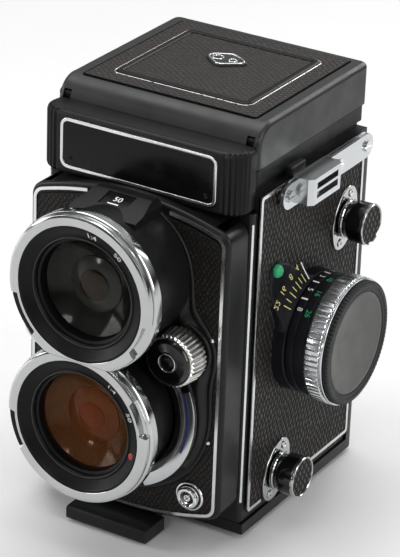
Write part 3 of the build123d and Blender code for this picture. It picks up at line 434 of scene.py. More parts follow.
def add_lathe(bm, profile, centre, axis, steps=128, closed=True, soft=0.12, shape=None):
    """Turns (distance along the axis, radius) corners about an axis through centre.
    shape(angle, along, radius) may return another radius."""
    along_dir, u_dir, v_dir = AXES[axis]
    rings = []
    for along, radius in softened(profile, soft, closed) if soft else profile:
        ring = []
        for i in range(steps):
            angle = TAU * i / steps
            r = max(shape(angle, along, radius) if shape else radius, 0.0)
            ring.append(centre + along_dir * along
                        + (u_dir * math.cos(angle) + v_dir * math.sin(angle)) * r)
        rings.append(ring)
    add_rings(bm, rings, closed)


def lathe(name, profile, centre, axis, finish, body, replaced=None, slot=None, crease=35.0,
          **options):
    """A turned piece."""
    bm = bmesh.new()
    add_lathe(bm, profile, centre, axis, **options)
    finish_piece(name, bm, finish, body, replaced, slot, crease)


def offset_loop(loop, distance):
    """Moves a closed 2D loop to its left by distance, with mitred corners."""
    count = len(loop)
    result = []
    for i in range(count):
        point = Vector(loop[i])
        before = (point - Vector(loop[i - 1])).normalized()
        after = (Vector(loop[(i + 1) % count]) - point).normalized()
        normal_a = Vector((-before.y, before.x))
        normal_b = Vector((-after.y, after.x))
        mitre = (normal_a + normal_b)
        scale = max(1.0 + normal_a.dot(normal_b), 0.35)
        result.append(point + mitre * (distance / scale))
    return result


def area_of(loop):
    """Area of a closed 2D loop, positive when it runs counter-clockwise."""
    return sum(loop[i - 1][0] * loop[i][1] - loop[i][0] * loop[i - 1][1]
               for i in range(len(loop))) / 2


def prism(name, loops, place, start, end, finish, body, replaced=None, slot=None,
          round_start=0.0, round_end=0.2, arc=4):
    """A plate between two depths. The first loop is the outline and the others are holes.
    Its edges are rounded at the start and end faces."""
    bm = bmesh.new()
    stack = []
    for steps, radius, depth, way in (
        (range(arc + 1), round_start, start, 1), (range(arc, -1, -1), round_end, end, -1),
    ):
        if radius <= 0:
            stack.append((0.0, depth))
            continue
        sign = 1 if end > start else -1
        for step in steps:
            angle = math.pi / 2 * step / arc
            stack.append((radius * (1 - math.sin(angle)),
                          depth + sign * way * radius * (1 - math.cos(angle))))
    caps = ([], [])
    for index, loop in enumerate(loops):
        if (area_of(loop) > 0) != (index == 0):
            loop = list(reversed(loop))
        rings = []
        for inset, depth in stack:
            ring = offset_loop(loop, inset) if inset else [Vector(p) for p in loop]
            rings.append([place(p[0], p[1], depth) for p in ring])
        made = add_rings(bm, rings)
        for cap, ring in zip(caps, (made[0], made[-1])):
            cap.extend(bm.edges.get((ring[i - 1], ring[i])) for i in range(len(ring)))
    for cap in caps:
        bmesh.ops.triangle_fill(bm, use_beauty=True, edges=cap)
    finish_piece(name, bm, finish, body, replaced, slot)


def arc_points(centre, radius, start, end, steps):
    """2D points on an arc between two angles in degrees, both ends included."""
    return [(centre[0] + radius * math.cos(math.radians(start + (end - start) * i / steps)),
             centre[1] + radius * math.sin(math.radians(start + (end - start) * i / steps)))
            for i in range(steps + 1)]


def round_rect(low, high, radius, steps=6):
    """Counter-clockwise rounded rectangle between two 2D corners."""
    loop = []
    for corner, (sx, sy) in enumerate(((1, -1), (1, 1), (-1, 1), (-1, -1))):
        cx = high[0] - radius if sx > 0 else low[0] + radius
        cy = high[1] - radius if sy > 0 else low[1] + radius
        loop += arc_points((cx, cy), radius, 90 * corner - 90, 90 * corner, steps)
    return loop


def add_text(bm, text, size, place):
    """Adds letters of the built-in font, centred on the origin; place maps letter
    coordinates (u, v) to a point on the object."""
    curve = bpy.data.curves.new("letters", "FONT")
    curve.body = text
    curve.size = size
    curve.align_x = "CENTER"
    curve.align_y = "CENTER"
    holder = new_object("letters", curve)
    mesh = bpy.data.meshes.new_from_object(
        holder.evaluated_get(bpy.context.evaluated_depsgraph_get()))
    verts = [bm.verts.new(place(v.co.x, v.co.y)) for v in mesh.vertices]
    for polygon in mesh.polygons:
        bm.faces.new([verts[i] for i in polygon.vertices])
    bpy.data.objects.remove(holder)
    bpy.data.curves.remove(curve)
    bpy.data.meshes.remove(mesh)


# ---- leather sheets ----

def cell_relief(u, v, pitch, jitter, seed):
    """Relief from 0 in the grooves to 1 on the crowns of a jittered diamond pattern.
    u and v are arrays in millimetres, pitch is the size of a cell along each."""
    rng = np.random.default_rng(seed)
    table = rng.uniform(-1, 1, (64, 64, 3))
    # slow waves keep the rows from running dead straight
    u = u + 0.22 * pitch[0] * np.sin(0.31 * v + 1.3 * np.sin(0.07 * u))
    v = v + 0.3 * pitch[1] * np.sin(0.19 * u + 0.9 * np.sin(0.11 * v))
    row = np.floor(v / (0.5 * pitch[1])).astype(int)
    nearest = np.full(u.shape, 9.0)
    second = np.full(u.shape, 9.0)
    tone = np.zeros(u.shape)
    for dj in (-1, 0, 1, 2):
        j = row + dj
        offset = 0.5 * (j % 2)
        column = np.floor(u / pitch[0] - offset).astype(int)
        for di in (-1, 0, 1, 2):
            i = column + di
            pick = table[i % 64, j % 64]
            du = u / pitch[0] - (i + offset + jitter * pick[..., 0])
            dv = (v / pitch[1] - (j + jitter * pick[..., 1]) * 0.5)
            distance = np.sqrt(du ** 2 + dv ** 2)
            closer = distance < nearest
            second = np.where(closer, nearest, np.minimum(second, distance))
            tone = np.where(closer, pick[..., 2], tone)
            nearest = np.where(closer, distance, nearest)
    edge = np.clip((second - nearest) / 0.46, 0, 1)
    dome = edge * edge * (3 - 2 * edge)
    return dome * (0.86 + 0.14 * tone)


def leather_sheet(name, columns, lower, upper, spacing, place, pitch, seed, finish, body,
                  replaced=None, jitter=0.16, skirt=0.6):
    """A sheet whose columns run from lower(u) to upper(u). place(u, v, relief) puts a point."""
    us = np.array(columns)
    low = np.array([lower(u) for u in us])
    high = np.array([upper(u) for u in us])
    rows = int(max(high - low) / spacing) + 1
    t = np.linspace(0, 1, rows)
    u = np.repeat(us[:, None], rows, 1)
    v = low[:, None] + (high - low)[:, None] * t[None, :]
    relief = cell_relief(u, v, pitch, jitter, seed)
    relief[0, :] = relief[-1, :] = relief[:, 0] = relief[:, -1] = 0
    mesh = bpy.data.meshes.new(name)
    points = [place(a, b, r) * MM for a, b, r in zip(u.ravel(), v.ravel(), relief.ravel())]
    count = len(us)
    faces = [(i * rows + j, (i + 1) * rows + j, (i + 1) * rows + j + 1, i * rows + j + 1)
             for i in range(count - 1) for j in range(rows - 1)]
    rim = ([i * rows for i in range(count)]
           + [(count - 1) * rows + j for j in range(1, rows)]
           + [i * rows + rows - 1 for i in range(count - 2, -1, -1)]
           + [j for j in range(rows - 2, 0, -1)])
    base = len(points)
    points += [place(u.ravel()[k], v.ravel()[k], -skirt) * MM for k in rim]
    faces += [(rim[k], base + k, base + (k + 1) % len(rim), rim[(k + 1) % len(rim)])
              for k in range(len(rim))]
    mesh.from_pydata(points, [], faces)
    values = np.concatenate((relief.ravel(), np.zeros(len(rim)))).astype(np.float32)
    mesh.attributes.new("relief", "FLOAT", "POINT").data.foreach_set("value", values)
    bm = bmesh.new()
    bm.from_mesh(mesh)
    bmesh.ops.recalc_face_normals(bm, faces=bm.faces)
    bm.to_mesh(mesh)
    bm.free()
    settle(name, mesh, finish, body, replaced)


def spaced(low, high, step):
    """Evenly spaced numbers, a step apart or a little more."""
    return list(np.linspace(low, high, int((high - low) / step) + 1))


def straight(height):
    """Edge of a sheet that stays at one height."""
    return lambda u: height


BODY_SIDE = 39.5                # X of the side walls of the body
GRAIN_STEP = 0.42
SIDE_CELL = (2.1, 4.3)          # size of a leather cell on the body
for sign, where in ((1, "right"), (-1, "left")):
    node = "side_covering_" + where
    low, high = span(node)
    leather_sheet("leather_side_" + where, spaced(low.y, high.y, 0.34),
                  straight(low.z), straight(high.z), GRAIN_STEP,
                  lambda u, v, r: Vector((sign * (BODY_SIDE - 0.04 + 0.26 * r), u, v)),
                  SIDE_CELL, 11 + sign, "leather", "camera_body", node)

ARCH_RADIUS = 108.5             # of the upper and lower edges of the front leather
FRONT_CORNER = 2.5
EDGE_COLUMNS = 2.2              # width at each end in which the columns bunch up


def arched(crown, way, half):
    """Edge height of an arched outline at u, with rounded corners."""
    def height(u):
        bend = crown - way * (ARCH_RADIUS - math.sqrt(ARCH_RADIUS ** 2 - u ** 2))
        over = max(abs(u) - (half - FRONT_CORNER), 0.0)
        drop = FRONT_CORNER - math.sqrt(max(FRONT_CORNER ** 2 - over ** 2, 0.0))
        return bend - way * drop
    return height


low, high = span("front_covering")
half = high.x
bunched = EDGE_COLUMNS * (1 - np.cos(np.linspace(0, math.pi / 2, 9)))
columns = (list(-half + bunched)[:-1]
           + spaced(-half + EDGE_COLUMNS, half - EDGE_COLUMNS, 0.4)
           + list(half - bunched)[::-1][1:])
leather_sheet("leather_front", columns, arched(low.z, -1, half), arched(high.z, 1, half),
              GRAIN_STEP, lambda u, v, r: Vector((u, low.y + 0.07 - 0.24 * r, v)),
              (1.7, 2.7), 5, "front_leather", "front_standard", "front_covering", skirt=0.3)

# ---- lens group ----

TAKING = Vector((0, 0, 48.5))
VIEWING = Vector((0, 0, 95.5))
SPLIT = 72.0                    # height at which the two bayonets are cut flat
WHEEL_X = 23.5                  # of the setting wheels, from the middle
LIP_RADIUS = 23.8               # inside it the bayonet has no notches


def bayonet(which, centre, notches, keep_above):
    """Chromed filter bayonet: flat front, groove, rear flange, and notches in the lip."""
    def shape(angle, along, radius):
        degrees = math.degrees(angle) % 360
        if along < -75.55 and radius > LIP_RADIUS:
            for start, end in notches:
                if start < degrees < end:
                    return LIP_RADIUS + (radius - LIP_RADIUS) * 0.1
        return radius
    profile = [(-77.4, 23.05), (-77.4, 25.7), (-77.1, 26.45), (-75.7, 26.6), (-75.5, 26.0),
               (-75.0, 25.9), (-74.7, 26.9), (-74.3, 27.1), (-71.4, 27.1), (-71.0, 26.7),
               (-71.0, 23.05)]
    bm = bmesh.new()
    add_lathe(bm, profile, centre, "y", steps=288, soft=0.14, shape=shape)
    cut = bmesh.ops.bisect_plane(
        bm, geom=bm.verts[:] + bm.edges[:] + bm.faces[:], dist=0.0001,
        plane_co=(0, 0, SPLIT + (0.04 if keep_above else -0.04)), plane_no=(0, 0, 1),
        clear_inner=keep_above, clear_outer=not keep_above)
    edges = [e for e in cut["geom_cut"] if isinstance(e, bmesh.types.BMEdge)]
    bmesh.ops.triangle_fill(bm, use_beauty=True, edges=edges)
    finish_piece("bayonet_" + which, bm, "ring_chrome", "front_standard",
                 which + "_bayonet", crease=30)


SLOTS = ((VIEWING, 193, 227), (TAKING, 183, 213))
bayonet("viewing", VIEWING, [SLOTS[0][1:], (322, 350)], True)
bayonet("taking", TAKING, [SLOTS[1][1:], (8, 36)], False)


def lens(prefix, front_y, radius, bulge, elements):
    """Black inner ring, lip, glass and the elements seen through it."""
    centre = VIEWING if prefix == "viewing" else TAKING
    glass = prefix + "_glass"
    rim = front_y + bulge
    profile = [(-77.05, 23.0), (-77.05, 22.4), (-76.85, 22.2), (-75.2, 19.35), (-75.15, 19.0),
               (-75.45, 18.75), (-75.45, 18.2), (-74.9, 17.9), (-74.0, 17.75),
               (-73.75, 17.0), (rim - 0.25, radius + 0.05), (rim + 1.6, radius + 0.05),
               (rim + 1.9, radius - 0.9), (-62.0, 12.6), (-61.8, 11.9), (-61.2, 11.7),
               (-56.0, 9.4), (-55.6, 8.4), (-50.6, 8.0), (-50.6, 23.0)]
    lathe(prefix + "_barrel_detail", profile, centre, "y", "barrel_black", "front_standard",
          prefix + "_barrel", crease=40, steps=160, soft=0.16)
    # painted highlight: a thin grey ring on the edge of the retaining ring, standing in for the
    # light it catches
    lathe(prefix + "_retaining_edge_highlight",
          [(-75.6, 18.62), (-75.6, 18.42), (-75.35, 18.42), (-75.35, 18.62)],
          centre, "y", "dial_grey", "front_standard", slot="barrel_black", steps=144,
          soft=0.06)
    ball = (radius ** 2 + bulge ** 2) / (2 * bulge)
    arc = [(front_y + ball - math.sqrt(ball ** 2 - (radius * k / 40) ** 2), radius * k / 40)
           for k in range(41)]
    outline = arc + [(rim + 0.7, radius)] + [
        (rim + 0.7 - 1.2 * (1 - (k / 8) ** 2), radius * k / 8) for k in range(8, -1, -1)]
    lathe(glass, outline, centre, "y", glass, "front_standard", prefix + "_lens_front",
          steps=128, soft=0, closed=False)
    for index, (depth, size, rise, finish) in enumerate(elements, 1):
        ball = (size ** 2 + rise ** 2) / (2 * abs(rise))
        way = 1 if rise > 0 else -1
        dome = [(depth - way * (math.sqrt(ball ** 2 - (size * k / 36) ** 2)
                                - math.sqrt(ball ** 2 - size ** 2)), size * k / 36)
                for k in range(37)]
        back = depth + 0.5 + max(0, -rise)
        dome += [(back, size), (back, 0)]
        lathe("%s_element_%d" % (prefix, index), dome, centre, "y", finish,
              "front_standard", slot=glass, steps=96, soft=0, closed=False)


# elements are (depth, radius, rise of the dome or fall of the bowl, finish)
lens("viewing", -73.9, 16.6, 2.4,
     [(-70.7, 16.5, -5.5, "element_dark"), (-67.2, 9.4, 1.6, "element_grey"),
      (-68.6, 5.4, 0.7, "element_deep")])
lens("taking", -74.0, 16.8, 2.4,
     [(-70.7, 16.6, -5.5, "element_brown"), (-67.2, 9.8, 1.6, "element_amber"),
      (-68.5, 5.0, 0.8, "element_rust")])

DIGIT_SIZE = 3.2
DIGITS_RADIUS = 20.7
for which, centre, middle_angle in (("viewing", VIEWING, 66), ("taking", TAKING, 40)):
    def on_ring(u, v):
        """Point on the black ring, clockwise from the middle angle and outwards."""
        angle = math.radians(middle_angle) - u / DIGITS_RADIUS
        r = DIGITS_RADIUS + v
        face_y = -76.85 + 1.65 * (22.2 - r) / 2.85
        return centre + Vector((r * math.cos(angle), face_y - 0.05, r * math.sin(angle)))
    bm = bmesh.new()
    add_text(bm, "1:4        50", DIGIT_SIZE, on_ring)
    finish_piece(which + "_ring_digits", bm, "white_mark", "front_standard")

# Red index on the black ring of the taking lens, toward the knob side.
RED_ANGLE = math.radians(-14)
RED_RADIUS = 20.9
lathe("red_index", [(-76.4, 0), (-76.35, 0.95), (-76.1, 1.25), (-75.0, 1.25), (-75.0, 0)],
      TAKING + Vector((RED_RADIUS * math.cos(RED_ANGLE), 0,
                       RED_RADIUS * math.sin(RED_ANGLE))),
      "y", "red_mark", "front_standard", steps=32, soft=0.1, closed=False)

# Moulded black surround: a smooth blend of the circles round both lenses and the wheels.
CIRCLES = ((0, TAKING.z, 33.6), (0, VIEWING.z, 25.2), (WHEEL_X, SPLIT, 10.2),
           (-WHEEL_X, SPLIT, 10.2))
SOFTNESS = 5.0


def blend_distance(x, z):
    """Signed distance to the blended outline, negative inside."""
    total = 0.0
    for cx, cz, radius in CIRCLES:
        total += math.exp(-(math.hypot(x - cx, z - cz) - radius) / SOFTNESS)
    return -SOFTNESS * math.log(total)


def contour(distance, steps=360):
    """Outline of the blend at a distance outside (positive) or inside (negative)."""
    loop = []
    for i in range(steps):
        angle = TAU * i / steps
        near, far = 2.0, 64.0
        for _ in range(36):
            mid = (near + far) / 2
            reached = blend_distance(mid * math.cos(angle), SPLIT + mid * math.sin(angle))
            near, far = (mid, far) if reached < distance else (near, mid)
        loop.append((near * math.cos(angle), SPLIT + near * math.sin(angle)))
    return loop


# (distance outside the blended outline, depth): edge, valley, round ridge, plateau
SURROUND = [(0.0, -48.9), (0.0, -49.75), (-0.12, -50.05), (-0.4, -50.28), (-0.8, -50.3),
            (-1.2, -50.12), (-1.6, -50.08), (-2.0, -50.3), (-2.4, -50.85), (-2.8, -51.4),
            (-3.2, -51.75), (-3.7, -51.9), (-4.4, -51.85), (-6.0, -51.7), (-6.0, -50.0),
            (-2.0, -48.9)]
bm = bmesh.new()
add_rings(bm, [[front(x, z, depth) for x, z in contour(distance)]
               for distance, depth in SURROUND], closed=True)
finish_piece("lens_surround", bm, "satin_black", "front_standard", "shutter_housing",
             crease=60)
for sign, where in ((1, "right"), (-1, "left")):
    lathe("wheel_seat_" + where,
          [(-49.0, 2.0), (-49.0, 10.2), (-51.3, 10.2), (-51.7, 9.9), (-51.75, 2.0)],
          Vector((sign * WHEEL_X, 0, SPLIT)), "y", "satin_black", "front_standard",
          steps=96, soft=0.15)

# Stepped shutter case behind the taking lens, its silver scale and blue arc.
lathe("shutter_case_tube",
      [(-51.6, 16.2), (-38.5, 16.2), (-38.5, 20.6), (-40.0, 20.8), (-49.0, 20.8),
       (-49.2, 24.2), (-51.6, 24.2)],
      TAKING, "y", "barrel_black", "front_standard", slot="satin_black", soft=0.2)
lathe("shutter_case_ring",
      [(-51.5, 30.6), (-53.5, 30.6), (-54.05, 30.1), (-54.05, 26.6), (-56.05, 26.3),
       (-56.05, 24.0), (-51.5, 24.0)],
      TAKING, "y", "knob_black", "front_standard", slot="satin_black", steps=192, soft=0.2)


def arc_band(name, centre, inner, outer, start, end, face, back, finish, replaced=None,
             rounding=0.1):
    """A band round a lens axis between two angles."""
    axis = (centre.x, centre.z)
    loop = arc_points(axis, outer, start, end, 72) + arc_points(axis, inner, end, start, 72)
    prism(name, [loop], front, back, face, finish, "front_standard", replaced,
          round_end=rounding)


arc_band("shutter_scale_silver", TAKING, 26.5, 30.5, -66, 22, -54.9, -54.0, "satin_chrome",
         "shutter_scale_ring")
arc_band("shutter_blue_arc", TAKING, 27.6, 28.5, -24, 20, -54.98, -54.5, "blue_mark",
         rounding=0.03)
for index, (centre, start, end) in enumerate(SLOTS, 1):
    arc_band("bayonet_slot_%d" % index, centre, 24.1, 26.45, start + 1, end - 1, -76.5,
             -75.2, "barrel_black", rounding=0.05)

KNURLS = 36


def knurl(angle, along, radius):
    if radius < 8.6:
        return radius
    wave = 0.5 + 0.5 * math.cos(KNURLS * angle)
    return radius - 0.5 * (1 - min(1.0, wave * 1.6))


# Knurled wheels: gloss face with a small ring, silver rim, coned knurl behind it.
for sign, node in ((1, "aperture_wheel"), (-1, "shutter_speed_wheel")):
    low, high = span(node)
    hub = Vector((sign * WHEEL_X, 0, SPLIT))
    lathe(node + "_knurl",
          [(low.y + 1.3, 7.6), (low.y + 1.1, 8.4), (low.y + 1.5, 8.9), (low.y + 1.9, 9.15),
           (high.y - 9.0, 9.85), (high.y - 7.0, 9.85), (high.y - 6.4, 9.2),
           (high.y - 6.2, 3.0), (low.y + 2.2, 3.0)],
          hub, "y", "knurl_chrome", node, node, steps=KNURLS * 8, soft=0.1, shape=knurl)
    lathe(node + "_face",
          [(low.y, 0), (low.y, 1.7), (low.y + 0.45, 1.95), (low.y + 0.45, 2.5),
           (low.y, 2.75), (low.y, 3.35), (low.y + 0.35, 3.6), (low.y + 0.3, 6.6),
           (low.y + 0.5, 7.3), (low.y + 1.15, 7.7), (low.y + 2.4, 7.7), (low.y + 2.4, 0)],
          hub, "y", "knob_black", node, steps=96, soft=0.14, closed=False)
    lathe(node + "_ring",
          [(low.y - 0.02, 2.85), (low.y - 0.1, 3.0), (low.y - 0.02, 3.2), (low.y + 0.2, 3.1)],
          hub, "y", "silver_trim", node, slot="polished_chrome", steps=64, soft=0.05)
    lathe(node + "_shaft",
          [(high.y - 6.4, 0), (high.y - 6.4, 6.2), (high.y - 5.6, 6.2), (high.y - 5.6, 1.6),
           (high.y, 1.6), (high.y, 0)],
          hub, "y", "satin_black", node, steps=64, closed=False)

# ---- focusing knob ----

FOCUS_AXIS = Vector((0, -1.1, 64.7))
COLLAR_FACE = 44.1
COLLAR_RADIUS = 21.0
BARREL_RADIUS = 20.9
TAB_FACE = 40.35                # X of the thin end of the index lobe
LOBE_MIDDLE = 37.0              # angle of the lobe
MARK = 0.05                     # height of the marks over their surface
FLUTES = 72
TEETH = 92


def on_focus(x, radius, phi):
    """Point about the focusing axis; phi runs from straight up towards the front."""
    angle = math.radians(phi)
    return Vector((x, FOCUS_AXIS.y - radius * math.sin(angle),
                   FOCUS_AXIS.z + radius * math.cos(angle)))


def lobe_radius(phi):
    return COLLAR_RADIUS - 0.4 + 18.5 * math.exp(-((phi - LOBE_MIDDLE) / 17.0) ** 2)


def lobe_face(radius):
    rise = max(0.0, 1 - (radius - COLLAR_RADIUS) / 9.5)
    return TAB_FACE + (COLLAR_FACE - 0.5 - TAB_FACE) * rise ** 1.7


lathe("focus_collar",
      [(39.4, 4.4), (43.9, 4.4), (44.05, 4.8), (44.1, 20.3), (43.9, 20.8), (43.5, 21.0),
       (40.6, 21.0), (39.4, 21.2)],
      FOCUS_AXIS, "x", "focus_black", "camera_body", "focus_scale_collar", steps=192)

bm = bmesh.new()
rings = []
inner = COLLAR_RADIUS - 0.6
for k in range(61):
    phi = LOBE_MIDDLE - 45 + 90 * k / 60
    outer = lobe_radius(phi)
    strip = []
    for s in range(17):
        radius = inner + (outer - COLLAR_RADIUS + 0.6) * s / 16
        drop = 0.5 * max(0.0, 1 - (outer - radius) / 0.8) ** 2
        strip.append(on_focus(lobe_face(radius) - drop, radius, phi))
    strip.append(on_focus(39.3, outer + 0.05, phi))
    strip.append(on_focus(39.3, inner, phi))
    rings.append(strip)
add_rings(bm, rings, capped=True)
finish_piece("focus_index_lobe", bm, "focus_black", "camera_body", crease=50)

lathe("focus_sleeve",
      [(34.6, 0), (34.6, 4.1), (44.3, 4.1), (44.35, 20.4), (44.6, 20.85), (46.9, 20.9),
       (47.0, 20.7), (47.2, 20.7), (47.3, 20.9), (50.8, 20.9), (51.15, 20.5), (54.0, 20.4),
       (54.0, 0)],
      FOCUS_AXIS, "x", "focus_black", "focus_knob", "focus_barrel", steps=192,
      closed=False, soft=0.1)


def fluted(angle, along, radius):
    if 51.6 < along < 57.1 and radius > 21.2:
        wave = 0.5 + 0.5 * math.cos(FLUTES * angle)
        return radius - 0.42 * (1 - min(1.0, 3.0 * wave))
    return radius


def toothed(angle, along, radius):
    if 58.9 < along and radius > 20.7:
        wave = 0.5 + 0.5 * math.cos(TEETH * angle)
        return radius - 0.45 * (1 - min(1.0, 1.7 * wave))
    return radius


lathe("focus_grip",
      [(51.2, 20.45), (51.2, 21.0), (51.45, 21.3), (51.9, 21.7), (52.2, 21.9), (56.8, 21.9),
       (57.05, 21.6), (57.25, 21.15), (57.5, 21.15), (57.65, 21.6), (57.8, 21.75),
       (58.25, 21.75), (58.4, 21.5), (58.4, 20.45)],
      FOCUS_AXIS, "x", "satin_chrome", "focus_knob", "focus_grip_ring", steps=FLUTES * 8,
      soft=0.1, shape=fluted)
lathe("film_dial_rim",
      [(54.5, 0), (54.5, 19.9), (58.55, 19.9), (58.55, 21.0), (58.95, 21.25), (59.75, 21.25),
       (60.1, 20.9), (60.2, 20.2), (60.2, 19.5), (60.0, 19.2), (59.85, 18.5), (59.95, 18.1),
       (59.8, 17.75), (59.2, 17.6), (58.6, 17.6), (58.6, 0)],
      FOCUS_AXIS, "x", "rubber_black", "film_dial", "film_dial", "dial_grey",
      steps=TEETH * 4, closed=False, soft=0.1, shape=toothed)
dish = [(59.75 - 0.85 * (1 - (k / 16) ** 2.4), 17.3 * k / 16) for k in range(17)]
lathe("film_dial_dish", dish + [(59.7, 17.55), (59.3, 17.6), (58.7, 17.6), (58.7, 0)],
      FOCUS_AXIS, "x", "dial_grey", "film_dial", soft=0, closed=False)


def lobe_tick(bm, phi, inner, outer, width):
    """A straight mark that lies on the sloping face of the lobe."""
    strips = []
    for s in range(9):
        radius = inner + (outer - inner) * s / 8
        spread = math.degrees(width / 2 / radius)
        strips.append([on_focus(lobe_face(radius) + MARK, radius, phi - spread),
                       on_focus(lobe_face(radius) + MARK, radius, phi + spread)])
    for first, second in zip(strips, strips[1:]):
        bm.faces.new([bm.verts.new(p) for p in (first[0], first[1], second[1], second[0])])


LOBE_DIGITS = 27.4              # distance of their middles from the axis
bm = bmesh.new()
for text, phi in (("22", 51.5), ("16", 40.5), ("8", 28.5), ("4", 19.5)):
    def on_lobe(u, v):
        """Point on the face of the lobe; the digits' tops are towards the hub."""
        r = LOBE_DIGITS - v
        return on_focus(lobe_face(r) + MARK, r, phi - math.degrees(u / LOBE_DIGITS))
    add_text(bm, text, DIGIT_SIZE, on_lobe)
for phi, inner in ((49, 21.6), (43.5, 22.4), (37.5, 21.6), (32.5, 22.4), (27.5, 21.6),
                   (23, 22.4), (18.5, 21.6)):
    lobe_tick(bm, phi, inner, 24.6, 0.32)
finish_piece("focus_depth_marks", bm, "yellow_mark", "camera_body")
bm = bmesh.new()
lobe_tick(bm, 13.5, 21.4, 27.5, 0.5)
finish_piece("focus_index_mark", bm, "white_mark", "camera_body")


def barrel_marks(name, x, items, finish):
    """Digits and dashes round the sleeve, each at its own angle."""
    bm = bmesh.new()
    for text, phi in items:
        def on_sleeve(u, v):
            radius = BARREL_RADIUS + MARK
            return on_focus(x + v, radius, phi + math.degrees(u / radius))
        if text == "-":
            dash = [(-1.0, -0.32), (1.0, -0.32), (1.3, 0), (1.0, 0.32), (-1.0, 0.32),
                    (-1.3, 0)]
            bm.faces.new([bm.verts.new(on_sleeve(v, u)) for u, v in dash])
        else:
            add_text(bm, text, 2.7, on_sleeve)
    finish_piece(name, bm, finish, "focus_knob")


barrel_marks("focus_metre_marks", 45.9,
             [("3", 2), ("5", 24), ("-", -8), ("-", 13), ("2", -20), ("1", -42), ("8", 46),
              ("-", -31), ("-", 35)], "white_mark")
barrel_marks("focus_feet_marks", 49.2,
             [("10", 4), ("16", 26), ("6", -14), ("4", -32), ("26", 48)], "green_mark")
lathe("green_index_dot", [(TAB_FACE - 0.5, 0), (TAB_FACE - 0.5, 2.2), (TAB_FACE + 0.5, 2.2),
                          (TAB_FACE + 1.1, 2.0), (TAB_FACE + 1.7, 1.4), (TAB_FACE + 1.95, 0.7),
                          (TAB_FACE + 2.0, 0)],
      on_focus(0, 36.4, 36.5), "x", "green_mark", "camera_body", slot="dial_grey",
      steps=48, closed=False)

# ---- spool knobs ----

PLATE_LONG, PLATE_SHORT = 11.2, 7.6     # half axes of the oval base plates
PLATE_SCREW = 8.7                       # from the shaft to each screw
FACE_RADIUS = 6.45                      # of the leather disc in each knob
KNOB_RIBS = 32


def ribbed(angle, along, radius):
    return radius - (0.18 * (0.5 + 0.5 * math.cos(KNOB_RIBS * angle)) if radius > 6 else 0)


def disc_edge(u):
    return math.sqrt(FACE_RADIUS ** 2 - u ** 2)


# (node, Y and Z of the shaft, angle by which the plate leans back from level)
for node, cy, cz, lean in (("upper_knob", 22.5, 96.3, 70.3), ("lower_knob", -16.3, 18.1, 62.1)):
    hub = Vector((0, cy, cz))
    cos_lean, sin_lean = math.cos(math.radians(lean)), math.sin(math.radians(lean))
    oval = []
    for i in range(96):
        along = PLATE_LONG * math.cos(TAU * i / 96)
        across = PLATE_SHORT * math.sin(TAU * i / 96)
        oval.append((cy + along * cos_lean - across * sin_lean,
                     cz + along * sin_lean + across * cos_lean))
    prism(node + "_base", [oval, arc_points((cy, cz), 2.5, 0, 352.5, 47)], side, BODY_SIDE,
          40.6, "ring_chrome", "camera_body", node + "_plate", round_end=0.3)
    for sign, where in ((-1, "low"), (1, "high")):
        lathe(node + "_screw_" + where,
              [(40.3, 0), (40.3, 1.5), (40.9, 1.5), (41.05, 1.25), (41.05, 0.7), (40.75, 0.5),
               (40.75, 0)],
              hub + Vector((0, sign * PLATE_SCREW * cos_lean, sign * PLATE_SCREW * sin_lean)),
              "x", "satin_chrome", "camera_body", steps=36, closed=False, soft=0.08)
    lathe(node + "_barrel",
          [(31.0, 0), (31.0, 2.3), (41.1, 2.3), (41.15, 5.6), (41.5, 6.0), (43.2, 6.1),
           (43.6, 6.6), (44.6, 7.0), (45.0, 7.1), (49.4, 7.1), (49.8, 6.6), (50.2, 6.5),
           (50.2, 0)],
          hub, "x", "knob_black", node, node, steps=96, closed=False, soft=0.18)
    lathe(node + "_rim",
          [(49.3, 6.9), (49.4, 7.15), (50.4, 7.15), (50.68, 6.95), (50.7, 6.7), (50.45, 6.5),
           (50.1, 6.45), (49.9, 6.4)],
          hub, "x", "ring_chrome", node, steps=96, soft=0.08)
    lathe(node + "_collar",
          [(41.2, 4.6), (41.2, 6.5), (41.5, 6.8), (42.3, 6.8), (42.6, 6.5), (42.6, 4.6)],
          hub, "x", "ring_chrome", node, steps=96, soft=0.1, shape=ribbed)
    leather_sheet(node + "_face",
                  list(FACE_RADIUS * np.sin(np.radians(np.linspace(-87, 87, 88)))),
                  lambda u: -disc_edge(u), disc_edge, 0.2,
                  lambda u, v, r: Vector((50.3 + 0.22 * r, cy + u, cz + v)),
                  (2.9, 4.4), 23, "leather", node, jitter=0.06, skirt=1.0)

# ---- nameplate ----

END_WIDTH, END_DEPTH = 7.3, 6.2         # the ends curve back as a quarter of an ellipse
RIBS = 6
RIB_STEPS = 96
low, high = span("nameplate_housing")
loop = []
for i in range(RIB_STEPS + 1):
    angle = math.radians(90 * i / RIB_STEPS)
    rib = 0.5 * (0.5 - 0.5 * math.cos(TAU * RIBS * i / RIB_STEPS))
    loop.append((high.x - END_WIDTH + (END_WIDTH - rib) * math.sin(angle),
                 low.y + END_DEPTH - (END_DEPTH - rib) * math.cos(angle)))
loop = loop + [(high.x - 0.2, high.y), (-high.x + 0.2, high.y)] + [
    (-x, y) for x, y in reversed(loop)]
prism("nameplate_hood_front", [loop], top, low.z, high.z, "crackle_black", "camera_body",
      "nameplate_housing", round_start=1.6, round_end=1.9, arc=6)
# level strip that closes the gap between the housing and the front of the lid
prism("nameplate_hood_top", [[(-36.4, -38.0), (36.4, -38.0), (36.4, -34.1), (-36.4, -34.1)]],
      top, 137.6, 139.95, "crackle_black", "camera_body", round_end=0.25)


def inset_rect(low, high, inset, radius, steps=8):
    """A rounded rectangle, set in from two 2D corners."""
    return round_rect((low[0] + inset, low[1] + inset), (high[0] - inset, high[1] - inset),
                      radius, steps)


